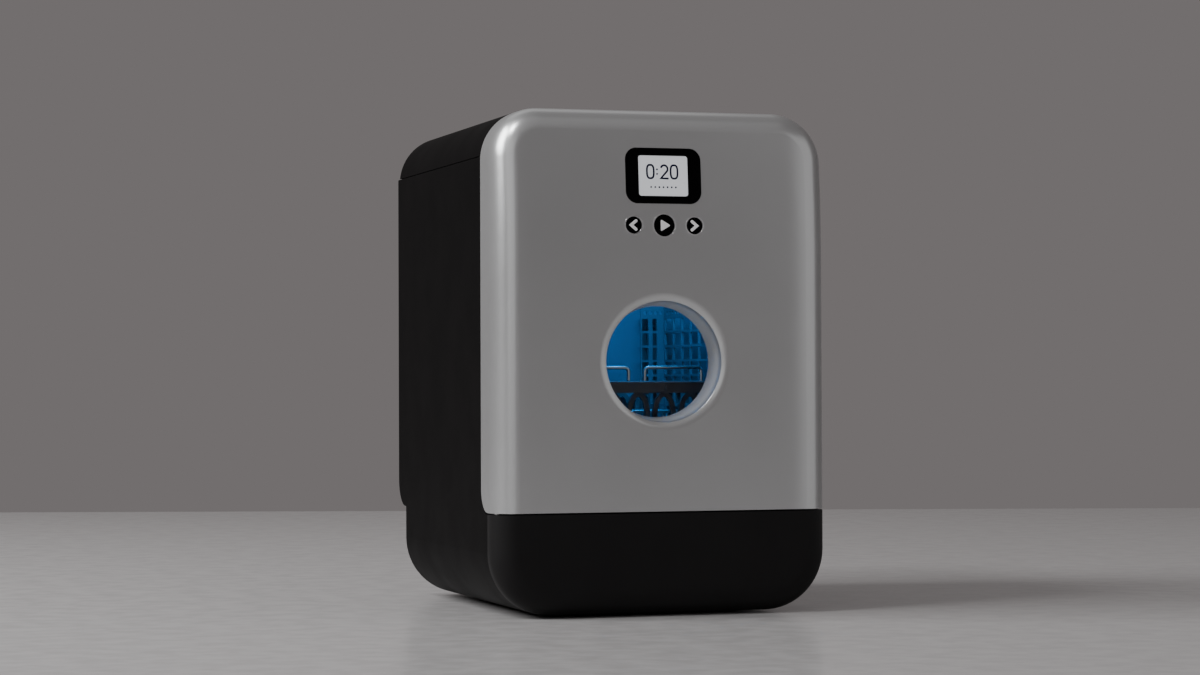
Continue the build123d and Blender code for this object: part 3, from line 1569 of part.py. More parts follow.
# Power board on four posts on the tray
board_width = 70.0
board_length = 80.0
board_x = 100.0 - width / 2
power_board_y = base_rear_y - 63.0
post_height = 8.0
post_inset = 4.0
board_post_radius = 3.0
relay_width = 24.0
relay_length = 20.0
relay_height = 16.0
relay_offset = 17.0
with BuildPart() as power_board:
    with BuildSketch(Plane.XY.offset(tray_top)):
        with Locations((board_x, power_board_y)):
            with GridLocations(board_width - 2 * post_inset, board_length - 2 * post_inset, 2, 2):
                Circle(board_post_radius)
    extrude(amount=post_height)
    with BuildSketch(Plane.XY.offset(tray_top + post_height)):
        with Locations((board_x, power_board_y)):
            Rectangle(board_width, board_length)
    extrude(amount=board_thickness)
    with BuildSketch(Plane.XY.offset(tray_top + post_height + board_thickness)):
        with Locations(
            (board_x - relay_offset, power_board_y + relay_offset),
            (board_x + relay_offset, power_board_y - relay_offset),
        ):
            Rectangle(relay_width, relay_length)
    extrude(amount=relay_height)
save(power_board.part, "power_board")

# Water tank behind the tub, its neck, and the filling funnel
with BuildPart() as water_tank:
    with BuildSketch(Plane.XY.offset(shelf_top)):
        with Locations((0, (tank_front_y + tank_back_y) / 2)):
            RectangleRounded(tank_width, tank_back_y - tank_front_y, tank_corner)
    extrude(amount=tank_top - shelf_top)
    with BuildSketch(Plane.XY.offset(tank_top)):
        with Locations((0, neck_y)):
            Circle(neck_radius)
    extrude(amount=neck_top - tank_top)
    with BuildSketch(Plane.XY.offset(shelf_top + tank_wall)):
        with Locations((0, (tank_front_y + tank_back_y) / 2)):
            RectangleRounded(
                tank_width - 2 * tank_wall,
                tank_back_y - tank_front_y - 2 * tank_wall,
                tank_corner - tank_wall,
            )
    extrude(amount=tank_top - shelf_top - 2 * tank_wall, mode=Mode.SUBTRACT)
    with BuildSketch(Plane.XY.offset(neck_top)):
        with Locations((0, neck_y)):
            Circle(neck_radius - tank_wall)
    extrude(amount=-(neck_top - tank_top + 2 * tank_wall), mode=Mode.SUBTRACT)
save(water_tank.part, "water_tank")

funnel_y = (collar_front_y + collar_back_y) / 2
funnel_length = collar_back_y - collar_front_y - 4
with BuildPart() as fill_funnel:
    with BuildSketch(Plane.XY.offset(neck_top)):
        with Locations((0, funnel_y)):
            Rectangle(flap_width + 2 * collar_width, funnel_length)
    extrude(amount=collar_z - neck_top)
    with BuildSketch(Plane.XY.offset(neck_top + funnel_floor)):
        with Locations((0, funnel_y)):
            Rectangle(flap_width + 2 * collar_width - 2 * tank_wall, funnel_length - 2 * tank_wall)
    extrude(amount=collar_z - neck_top, mode=Mode.SUBTRACT)
    with BuildSketch(Plane.XY.offset(neck_top)):
        with Locations((0, neck_y)):
            Circle(neck_radius - tank_wall)
    extrude(amount=funnel_floor, mode=Mode.SUBTRACT)
save(fill_funnel.part, "fill_funnel")
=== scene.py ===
"""Finishes, small details, studio and camera for a countertop dishwasher with a porthole door.

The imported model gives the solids. This script gives every solid its finish, adds the button symbols,
the bright rims round the buttons and the marks on the display, and sets up the studio. Lengths are in
metres, +Z is up and -Y is the front.
"""

from __future__ import annotations

import json
import logging
import math
from dataclasses import dataclass
from enum import Enum

import bmesh
import bpy
import numpy as np
from mathutils import Euler, Matrix, Vector

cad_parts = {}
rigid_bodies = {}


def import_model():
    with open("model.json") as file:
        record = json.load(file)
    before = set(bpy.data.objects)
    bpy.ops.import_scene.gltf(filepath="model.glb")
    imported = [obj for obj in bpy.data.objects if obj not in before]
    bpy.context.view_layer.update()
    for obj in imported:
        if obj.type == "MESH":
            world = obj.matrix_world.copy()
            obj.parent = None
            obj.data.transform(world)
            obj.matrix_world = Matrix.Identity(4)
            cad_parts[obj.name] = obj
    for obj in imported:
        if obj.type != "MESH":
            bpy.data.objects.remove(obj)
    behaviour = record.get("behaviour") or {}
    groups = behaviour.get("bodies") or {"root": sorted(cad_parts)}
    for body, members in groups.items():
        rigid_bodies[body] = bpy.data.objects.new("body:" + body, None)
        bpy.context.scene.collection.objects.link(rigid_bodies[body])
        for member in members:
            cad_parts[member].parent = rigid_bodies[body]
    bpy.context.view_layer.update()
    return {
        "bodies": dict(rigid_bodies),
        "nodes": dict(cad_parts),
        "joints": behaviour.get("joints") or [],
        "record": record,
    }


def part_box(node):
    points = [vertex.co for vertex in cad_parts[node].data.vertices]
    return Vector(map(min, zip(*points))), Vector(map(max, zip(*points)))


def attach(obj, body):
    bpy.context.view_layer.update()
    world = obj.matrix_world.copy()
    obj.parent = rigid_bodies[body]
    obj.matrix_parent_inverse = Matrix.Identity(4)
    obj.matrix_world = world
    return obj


LOG = logging.getLogger("dishwasher")

MM = 0.001
TURN = 2.0 * math.pi
Colour = tuple[float, float, float]
Place = tuple[float, float, float]
Shape = tuple[np.ndarray, list[tuple[int, ...]]]


class Body(Enum):
    """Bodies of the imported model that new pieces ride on."""

    DOOR = "door"
    LEFT = "button_left_body"
    START = "button_start_body"
    RIGHT = "button_right_body"


class Grain(Enum):
    """Kinds of fine surface texture that a finish can have."""

    FLAKE = "flake"
    LEATHERY = "leathery"
    BRUSHED = "brushed"
    SMOOTH = "smooth"


@dataclass(frozen=True)
class Relief:
    """Fine relief of a surface: the size of one grain in metres, and how strong and how deep it is."""

    kind: Grain
    size: float
    strength: float
    depth: float = 0.02 * MM


@dataclass(frozen=True)
class Finish:
    """Surface finish built as nodes on Object coordinates."""

    name: str
    colour: Colour
    roughness: float
    relief: Relief
    metallic: float = 0.0
    roughness_spread: float = 0.06
    tone_spread: float = 0.06
    patch_size: float = 0.05
    gloss_patch_share: float = 0.6
    patch_detail: float = 4.0
    noise_low: float = 0.3
    noise_high: float = 0.7
    brush_stretch: float = 0.03
    transmission: float = 0.0
    ior: float = 1.45
    specular: float = 0.5
    emission: Colour | None = None
    emission_strength: float = 0.0
    subsurface: float = 0.0
    subsurface_depth: float = 3.0 * MM

    def build(self) -> bpy.types.Material:
        """Makes the material.

        Returns:
            Material whose tone and roughness drift over patches and whose relief follows the grain.
        """
        material = bpy.data.materials.new(self.name)
        material.use_nodes = True
        tree = material.node_tree
        shader = tree.nodes["Principled BSDF"]
        shader.inputs["Metallic"].default_value = self.metallic
        shader.inputs["IOR"].default_value = self.ior
        shader.inputs["Specular IOR Level"].default_value = self.specular
        shader.inputs["Transmission Weight"].default_value = self.transmission
        shader.inputs["Subsurface Weight"].default_value = self.subsurface
        shader.inputs["Subsurface Scale"].default_value = self.subsurface_depth
        if self.emission is not None:
            shader.inputs["Emission Color"].default_value = (*self.emission, 1.0)
            shader.inputs["Emission Strength"].default_value = self.emission_strength
        place = tree.nodes.new("ShaderNodeTexCoord")
        self._tone(tree, shader, place)
        self._gloss(tree, shader, place)
        self._grain(tree, shader, place)
        return material

    def _patches(self, tree: bpy.types.NodeTree, place: bpy.types.Node, size: float) -> bpy.types.Node:
        """Adds a soft noise on Object coordinates.

        Args:
            tree: Node tree of the material.
            place: Texture coordinate node.
            size: Width of one patch in metres.

        Returns:
            The noise node.
        """
        noise = tree.nodes.new("ShaderNodeTexNoise")
        noise.inputs["Scale"].default_value = 1.0 / size
        noise.inputs["Detail"].default_value = self.patch_detail
        tree.links.new(place.outputs["Object"], noise.inputs["Vector"])
        return noise

    def _tone(self, tree: bpy.types.NodeTree, shader: bpy.types.Node, place: bpy.types.Node) -> bpy.types.Node:
        """Lets the colour drift a little lighter and darker over patches.

        Args:
            tree: Node tree of the material.
            shader: Its shader.
            place: Texture coordinate node.

        Returns:
            The colour ramp.
        """
        noise = self._patches(tree, place, self.patch_size)
        ramp = tree.nodes.new("ShaderNodeValToRGB")
        dark = [c * (1.0 - self.tone_spread) for c in self.colour]
        light = [min(c * (1.0 + self.tone_spread), 1.0) for c in self.colour]
        ramp.color_ramp.interpolation = "EASE"
        ramp.color_ramp.elements[0].position = self.noise_low
        ramp.color_ramp.elements[1].position = self.noise_high
        ramp.color_ramp.elements[0].color = (*dark, 1.0)
        ramp.color_ramp.elements[1].color = (*light, 1.0)
        tree.links.new(noise.outputs["Fac"], ramp.inputs["Fac"])
        tree.links.new(ramp.outputs["Color"], shader.inputs["Base Color"])
        return ramp

    def _gloss(self, tree: bpy.types.NodeTree, shader: bpy.types.Node, place: bpy.types.Node) -> None:
        """Lets the roughness drift over patches, as handling and moulding leave it.

        Args:
            tree: Node tree of the material.
            shader: Its shader.
            place: Texture coordinate node.
        """
        noise = self._patches(tree, place, self.patch_size * self.gloss_patch_share)
        remap = tree.nodes.new("ShaderNodeMapRange")
        remap.interpolation_type = "SMOOTHSTEP"
        remap.inputs["From Min"].default_value = self.noise_low
        remap.inputs["From Max"].default_value = self.noise_high
        remap.inputs["To Min"].default_value = max(self.roughness - self.roughness_spread / 2, 0.0)
        remap.inputs["To Max"].default_value = self.roughness + self.roughness_spread / 2
        tree.links.new(noise.outputs["Fac"], remap.inputs["Value"])
        tree.links.new(remap.outputs["Result"], shader.inputs["Roughness"])

    def _grain(self, tree: bpy.types.NodeTree, shader: bpy.types.Node, place: bpy.types.Node) -> bpy.types.Node:
        """Adds the fine relief: smooth is soft patches, brushed is drawn-out noise, the others are cells.

        Args:
            tree: Node tree of the material.
            shader: Its shader.
            place: Texture coordinate node.

        Returns:
            The bump node.
        """
        if self.relief.kind is Grain.SMOOTH:
            height = self._patches(tree, place, self.relief.size).outputs["Fac"]
        elif self.relief.kind is Grain.BRUSHED:
            stretch = tree.nodes.new("ShaderNodeMapping")
            stretch.inputs["Scale"].default_value = (1.0, 1.0, self.brush_stretch)
            tree.links.new(place.outputs["Object"], stretch.inputs["Vector"])
            noise = tree.nodes.new("ShaderNodeTexNoise")
            noise.inputs["Scale"].default_value = 1.0 / self.relief.size
            tree.links.new(stretch.outputs["Vector"], noise.inputs["Vector"])
            height = noise.outputs["Fac"]
        else:
            cells = tree.nodes.new("ShaderNodeTexVoronoi")
            cells.inputs["Scale"].default_value = 1.0 / self.relief.size
            tree.links.new(place.outputs["Object"], cells.inputs["Vector"])
            height = cells.outputs["Distance"]
        bump = tree.nodes.new("ShaderNodeBump")
        bump.inputs["Strength"].default_value = self.relief.strength
        bump.inputs["Distance"].default_value = self.relief.depth
        tree.links.new(height, bump.inputs["Height"])
        tree.links.new(bump.outputs["Normal"], shader.inputs["Normal"])
        return bump


@dataclass(frozen=True)
class Sums:
    """Adds sums to a material's node tree."""

    tree: bpy.types.NodeTree

    def of(
        self, operation: str, first: bpy.types.NodeSocket, second: bpy.types.NodeSocket | float = 0.0
    ) -> bpy.types.NodeSocket:
        """Adds one sum.

        Args:
            operation: Name of the sum, such as "ADD".
            first: First number.
            second: Second number, fixed or from another node.

        Returns:
            The result.
        """
        node = self.tree.nodes.new("ShaderNodeMath")
        node.operation = operation
        self.tree.links.new(first, node.inputs[0])
        if isinstance(second, float):
            node.inputs[1].default_value = second
        else:
            self.tree.links.new(second, node.inputs[1])
        return node.outputs["Value"]


@dataclass(frozen=True)
class CrownedSilver(Finish):
    """Painted door skin: its face turns away softly beside the rounded edges, and its bore is duller paint."""

    bore_z: float = 245.5 * MM
    bore_radius: float = 57.0 * MM
    bore_blend: float = 1.5 * MM
    bore_metallic: float = 0.1
    middle_x: float = 120.0 * MM
    reach: float = 50.0 * MM
    swell: float = 8.0 * MM

    def _grain(self, tree: bpy.types.NodeTree, shader: bpy.types.Node, place: bpy.types.Node) -> bpy.types.Node:
        """Adds the swell under the grain, and makes the bore less metallic than the face.

        The swell's height is -swell (d / reach)^3, where d = max(|x| - middle_x, 0) is how far the point lies
        outside the middle field. The metallic share is the bore's out to its radius and the face's beyond the
        blend, by the distance sqrt(x^2 + (z - bore_z)^2) from the porthole's axis.

        Args:
            tree: Node tree of the material.
            shader: Its shader.
            place: Texture coordinate node.

        Returns:
            The bump node of the grain.
        """
        grain = super()._grain(tree, shader, place)
        sums = Sums(tree)
        parts = tree.nodes.new("ShaderNodeSeparateXYZ")
        tree.links.new(place.outputs["Object"], parts.inputs["Vector"])
        across = sums.of("ABSOLUTE", parts.outputs["X"])
        outside = sums.of("MAXIMUM", sums.of("SUBTRACT", across, self.middle_x))
        share = sums.of("MULTIPLY", outside, 1.0 / self.reach)
        swell = tree.nodes.new("ShaderNodeBump")
        swell.inputs["Strength"].default_value = 1.0
        swell.inputs["Distance"].default_value = 1.0
        tree.links.new(sums.of("MULTIPLY", sums.of("POWER", share, 3.0), -self.swell), swell.inputs["Height"])
        tree.links.new(swell.outputs["Normal"], grain.inputs["Normal"])
        rise = sums.of("SUBTRACT", parts.outputs["Z"], self.bore_z)
        square = sums.of("ADD", sums.of("MULTIPLY", across, across), sums.of("MULTIPLY", rise, rise))
        blend = tree.nodes.new("ShaderNodeMapRange")
        blend.inputs["From Min"].default_value = self.bore_radius
        blend.inputs["From Max"].default_value = self.bore_radius + self.bore_blend
        blend.inputs["To Min"].default_value = self.bore_metallic
        blend.inputs["To Max"].default_value = self.metallic
        tree.links.new(sums.of("SQRT", square), blend.inputs["Value"])
        tree.links.new(blend.outputs["Result"], shader.inputs["Metallic"])
        return grain


@dataclass(frozen=True)
class DottedSteel(Finish):
    """Perforated steel: dark round holes on a square pitch."""

    pitch: float = 2.0 * MM
    hole: float = 0.55 * MM
    hole_colour: Colour = (0.01, 0.01, 0.01)

    def _tone(self, tree: bpy.types.NodeTree, shader: bpy.types.Node, place: bpy.types.Node) -> bpy.types.Node:
        """Lays the holes over the steel's colour, as dark dots where x, y and z are near a grid point.

        Args:
            tree: Node tree of the material.
            shader: Its shader.
            place: Texture coordinate node.

        Returns:
            The colour ramp of the steel.
        """
        ramp = super()._tone(tree, shader, place)
        cells = tree.nodes.new("ShaderNodeTexVoronoi")
        cells.inputs["Scale"].default_value = 1.0 / self.pitch
        cells.inputs["Randomness"].default_value = 0.0
        tree.links.new(place.outputs["Object"], cells.inputs["Vector"])
        mix = tree.nodes.new("ShaderNodeMix")
        mix.data_type = "RGBA"
        mix.inputs["A"].default_value = (*self.hole_colour, 1.0)
        steel = Sums(tree).of("GREATER_THAN", cells.outputs["Distance"], self.hole / self.pitch)
        tree.links.new(steel, mix.inputs["Factor"])
        tree.links.new(ramp.outputs["Color"], mix.inputs["B"])
        tree.links.new(mix.outputs["Result"], shader.inputs["Base Color"])
        return ramp


# Outside
SILVER = CrownedSilver(
    "satin_silver", (0.565, 0.575, 0.58), 0.285, Relief(Grain.FLAKE, 0.35 * MM, 0.06), metallic=0.78,
    tone_spread=0.012, roughness_spread=0.02, patch_size=0.12,
)
BLACK = Finish(
    "satin_black", (0.0036, 0.0033, 0.0034), 0.5, Relief(Grain.LEATHERY, 0.5 * MM, 0.15), specular=0.04,
    patch_size=0.09,
)
# Lighter copy of the satin black for the front plinth panel: painted light that brightens the front, which gets
# less of the key light than the sides.
PLINTH_BLACK_PAINTED_LIGHT = Finish(
    "plinth_black_painted_light", (0.013, 0.0125, 0.0128), 0.5, Relief(Grain.LEATHERY, 0.5 * MM, 0.15), specular=0.1,
    patch_size=0.09,
)
FRAME_BLACK = Finish(
    "matt_black", (0.014, 0.014, 0.015), 0.6, Relief(Grain.LEATHERY, 0.7 * MM, 0.25), specular=0.3,
)
RUBBER = Finish(
    "black_rubber", (0.012, 0.012, 0.012), 0.78, Relief(Grain.LEATHERY, 0.4 * MM, 0.3), specular=0.3,
)

# Display and buttons
PIANO = Finish(
    "piano_black", (0.0006, 0.0006, 0.0008), 0.09, Relief(Grain.SMOOTH, 20 * MM, 0.03), specular=0.1,
    roughness_spread=0.03,
)
SCREEN = Finish(
    "pale_screen", (0.42, 0.43, 0.45), 0.3, Relief(Grain.FLAKE, 0.3 * MM, 0.05), tone_spread=0.02,
    emission=(0.80, 0.82, 0.86), emission_strength=0.5,
)
NAVY = Finish("navy_marks", (0.004, 0.006, 0.03), 0.5, Relief(Grain.SMOOTH, 2 * MM, 0.05), specular=0.1)
# Printed grey symbols; their faint white glow is painted light that makes them brighter, as they are not lit
# from within.
SYMBOL_WITH_PAINTED_GLOW = Finish(
    "symbol_grey", (0.80, 0.80, 0.81), 0.45, Relief(Grain.FLAKE, 0.3 * MM, 0.05), emission=(1.0, 1.0, 1.0),
    emission_strength=0.14,
)
BRIGHT_RIM = Finish(
    "bright_rim", (0.62, 0.62, 0.63), 0.28, Relief(Grain.FLAKE, 0.3 * MM, 0.04), metallic=1.0,
)

# Porthole and the back of the door
WINDOW = Finish(
    "window_glass", (0.94, 0.97, 1.0), 0.0, Relief(Grain.SMOOTH, 60 * MM, 0.01), transmission=1.0, ior=1.12,
    specular=0.4, roughness_spread=0.004, tone_spread=0.01,
)
FUNNEL = Finish("funnel_grey", (0.17, 0.175, 0.18), 0.28, Relief(Grain.SMOOTH, 3 * MM, 0.08))
LINER = Finish("liner_grey", (0.14, 0.15, 0.16), 0.42, Relief(Grain.LEATHERY, 0.8 * MM, 0.12))
SILICONE = Finish("grey_silicone", (0.17, 0.18, 0.19), 0.6, Relief(Grain.SMOOTH, 2 * MM, 0.1), subsurface=0.1)

# Wash chamber
# Grey lining with a blue tint and low red; the tint is partly painted light, standing in for the blue lamp's
# cast over the chamber.
LINING = Finish("tub_lining", (0.22, 0.27, 0.31), 0.3, Relief(Grain.SMOOTH, 8 * MM, 0.15), patch_size=0.06)
BASKET = Finish("basket_plastic", (0.15, 0.14, 0.145), 0.4, Relief(Grain.LEATHERY, 0.6 * MM, 0.15))
CUTLERY = Finish("cutlery_plastic", (0.19, 0.20, 0.22), 0.38, Relief(Grain.LEATHERY, 0.6 * MM, 0.12))
WIRE = Finish("polished_wire", (0.72, 0.72, 0.72), 0.3, Relief(Grain.BRUSHED, 0.3 * MM, 0.05), metallic=1.0)
SPRAY = Finish("spray_grey", (0.20, 0.22, 0.25), 0.4, Relief(Grain.LEATHERY, 0.7 * MM, 0.12))
MESH_STEEL = DottedSteel(
    "perforated_steel", (0.45, 0.45, 0.45), 0.32, Relief(Grain.BRUSHED, 0.3 * MM, 0.1), metallic=1.0,
)
LAMP = Finish(
    "blue_lamp", (0.15, 0.5, 0.95), 0.4, Relief(Grain.SMOOTH, 2 * MM, 0.05), emission=(0.02, 0.36, 1.0),
    emission_strength=3.0,
)

# Works
STEEL = Finish("plated_steel", (0.46, 0.47, 0.47), 0.34, Relief(Grain.BRUSHED, 0.25 * MM, 0.2), metallic=1.0)
PIN_STEEL = Finish(
    "ground_steel", (0.58, 0.58, 0.59), 0.22, Relief(Grain.BRUSHED, 0.15 * MM, 0.15), metallic=1.0,
)
MOULDED = Finish("moulded_grey", (0.11, 0.12, 0.13), 0.48, Relief(Grain.LEATHERY, 0.8 * MM, 0.15))
BOARD = Finish("board_green", (0.012, 0.10, 0.045), 0.35, Relief(Grain.FLAKE, 1.5 * MM, 0.4))
ACETAL = Finish("white_acetal", (0.72, 0.72, 0.70), 0.35, Relief(Grain.SMOOTH, 2 * MM, 0.08), subsurface=0.15)
NYLON = Finish("nylon_white", (0.62, 0.62, 0.58), 0.45, Relief(Grain.LEATHERY, 0.8 * MM, 0.15), subsurface=0.1)
MOTOR = Finish("motor_paint", (0.06, 0.06, 0.065), 0.45, Relief(Grain.LEATHERY, 0.5 * MM, 0.25))
TANK = Finish("tank_polyethylene", (0.55, 0.60, 0.66), 0.5, Relief(Grain.SMOOTH, 4 * MM, 0.2), subsurface=0.3)

# Studio
FLOOR = Finish("pale_floor", (0.52, 0.51, 0.51), 0.2, Relief(Grain.SMOOTH, 40 * MM, 0.02), tone_spread=0.01)

# The front plinth panel takes the lighter copy of the satin black, as painted light.
NODE_FINISH: dict[str, Finish] = {"plinth_panel": PLINTH_BLACK_PAINTED_LIGHT, "cutlery_basket": CUTLERY}

SLOT_FINISH: dict[str, Finish] = {
    "side_black": BLACK,
    "frame_black": FRAME_BLACK,
    "inner_grey": MOULDED,
    "inner_steel": STEEL,
    "rubber_black": RUBBER,
    "rubber_grey": SILICONE,
    "screw_steel": PIN_STEEL,
    "pin_steel": PIN_STEEL,
    "door_silver": SILVER,
    "liner_grey": LINER,
    "window_glass": WINDOW,
    "funnel_grey": FUNNEL,
    "gloss_black": PIANO,
    "screen_pale": SCREEN,
    "board_green": BOARD,
    "bearing_white": ACETAL,
    "tub_lining": LINING,
    "runner_grey": MOULDED,
    "basket_dark": BASKET,
    "wire_steel": WIRE,
    "lamp_blue": LAMP,
    "spray_grey": SPRAY,
    "filter_steel": MESH_STEEL,
    "motor_grey": MOTOR,
    "connector_white": NYLON,
    "tank_clear": TANK,
}


class Shop:
    """Makes each finish once and hands out its material."""

    def __init__(self) -> None:
        """Starts with no material made."""
        self._made: dict[str, bpy.types.Material] = {}

    def material(self, finish: Finish) -> bpy.types.Material:
        """Gives the material of a finish.

        Args:
            finish: Finish to look up.

        Returns:
            Its material, made on first use.
        """
        if finish.name not in self._made:
            self._made[finish.name] = finish.build()
        return self._made[finish.name]


@dataclass(frozen=True)
class DoorFace:
    """Shape of the door's face: upright to a height, then an arc that leans back."""

    front: float = -195.0 * MM
    lean_start: float = 340.0 * MM
    lean_radius: float = 1110.0 * MM

    def depth(self, z: np.ndarray) -> np.ndarray:
        """Gives the face's y at each height: front + R - sqrt(R^2 - (z - start)^2) above the start.

        Args:
            z: Heights in metres.

        Returns:
            The y of the face at those heights.
        """
        rise = np.clip(z - self.lean_start, 0.0, None)
        return self.front + self.lean_radius - np.sqrt(self.lean_radius**2 - rise**2)


def closed_grid(rows: int, columns: int) -> list[tuple[int, ...]]:
    """Faces of a grid whose columns wrap round, in row-major order.

    Args:
        rows: Number of rows.
        columns: Number of columns, the last of which joins the first.

    Returns:
        Quads as index tuples.
    """
    row, column = np.meshgrid(np.arange(rows - 1), np.arange(columns), indexing="ij")
    following = (column + 1) % columns
    low, high = row * columns, (row + 1) * columns
    quads = np.stack([low + column, low + following, high + following, high + column], axis=-1)
    return [tuple(quad) for quad in quads.reshape(-1, 4).tolist()]


def turn_outwards(piece: bpy.types.Object, merge_distance: float = 1e-7) -> None:
    """Merges doubles and recalculates the normals so that they point out of the shape.

    Args:
        piece: Mesh object to mend.
        merge_distance: Vertices nearer than this become one.
    """
    shape = bmesh.new()
    shape.from_mesh(piece.data)
    bmesh.ops.remove_doubles(shape, verts=shape.verts, dist=merge_distance)
    bmesh.ops.recalc_face_normals(shape, faces=shape.faces)
    shape.to_mesh(piece.data)
    shape.free()


def put_mesh(name: str, shape: Shape, material: bpy.types.Material) -> bpy.types.Object:
    """Makes a smooth mesh object at the origin with its faces turned outwards.

    Args:
        name: Object name.
        shape: Vertex places, one row each, and the vertex indices of each face.
        material: Material of the whole mesh.

    Returns:
        The new object.
    """
    points, faces = shape
    mesh = bpy.data.meshes.new(name)
    mesh.from_pydata(points.tolist(), [], faces)
    mesh.validate()
    mesh.materials.append(material)
    piece = bpy.data.objects.new(name, mesh)
    bpy.context.scene.collection.objects.link(piece)
    turn_outwards(piece)
    mesh.polygons.foreach_set("use_smooth", np.ones(len(mesh.polygons), dtype=bool))
    return piece


def stroke(path: np.ndarray, half_width: float, half_depth: float, steps: int = 6, around: int = 12) -> Shape:
    """Rounded stroke along a flat path: an ellipse carried along it, closed by half-round ends.

    A point is path(s) + w cos(a) side + h sin(a) out, where w and h shrink to nothing over each end as
    sqrt(1 - t^2), and side is square to the path in the plane.

    Args:
        path: Points of the path as (x, z) rows.
        half_width: Half the stroke's width.
        half_depth: Half its thickness, out of the plane.
        steps: Rings in each rounded end.
        around: Points in each ring.

    Returns:
        Points as (x, out, z) rows, and faces.
    """
    sharpest, smallest_ring = 0.5, 1e-3
    legs = np.diff(path, axis=0)
    heading = legs / np.linalg.norm(legs, axis=1)[:, None]
    corner = np.vstack([heading[:1], (heading[:-1] + heading[1:]), heading[-1:]])
    corner /= np.linalg.norm(corner, axis=1)[:, None]
    side = np.stack([-corner[:, 1], corner[:, 0]], axis=1)
    bisect = np.einsum("ij,ij->i", corner, np.vstack([heading[:1], heading]))
    side /= np.clip(bisect, sharpest, None)[:, None]
    cap = np.linspace(1.0, 0.0, steps, endpoint=False)
    start = path[0] - heading[0] * (half_width * cap)[:, None]
    end = path[-1] + heading[-1] * (half_width * cap[::-1])[:, None]
    centre = np.vstack([start, path, end])
    across = np.vstack([np.repeat(side[:1], steps, 0), side, np.repeat(side[-1:], steps, 0)])
    size = np.sqrt(1.0 - np.concatenate([cap, np.zeros(len(path)), cap[::-1]]) ** 2)
    size = np.clip(size, smallest_ring, None)
    angle = np.linspace(0.0, TURN, around, endpoint=False)
    flat = centre[:, None, :] + across[:, None, :] * (half_width * size[:, None] * np.cos(angle))[:, :, None]
    out = half_depth * size[:, None] * np.sin(angle)
    points = np.stack([flat[..., 0], out, flat[..., 1]], axis=-1).reshape(-1, 3)
    rings = len(centre)
    faces = closed_grid(rings, around)
    faces.append(tuple(range(around)))
    faces.append(tuple(range((rings - 1) * around, rings * around)))
    return points, faces


def join_shapes(shapes: list[Shape]) -> Shape:
    """Puts several shapes into one list of points and faces.

    Args:
        shapes: Points and faces of each shape.

    Returns:
        All the points, and all the faces with their indices moved along.
    """
    starts = np.cumsum([0] + [len(points) for points, _ in shapes[:-1]])
    faces = [tuple(int(start) + i for i in face) for start, (_, some) in zip(starts, shapes) for face in some]
    return np.vstack([points for points, _ in shapes]), faces


@dataclass(frozen=True)
class ButtonPlace:
    """One push button: its node, where its centre is, its radius and the body that it rides on."""

    node: str
    x: float
    radius: float
    body: Body


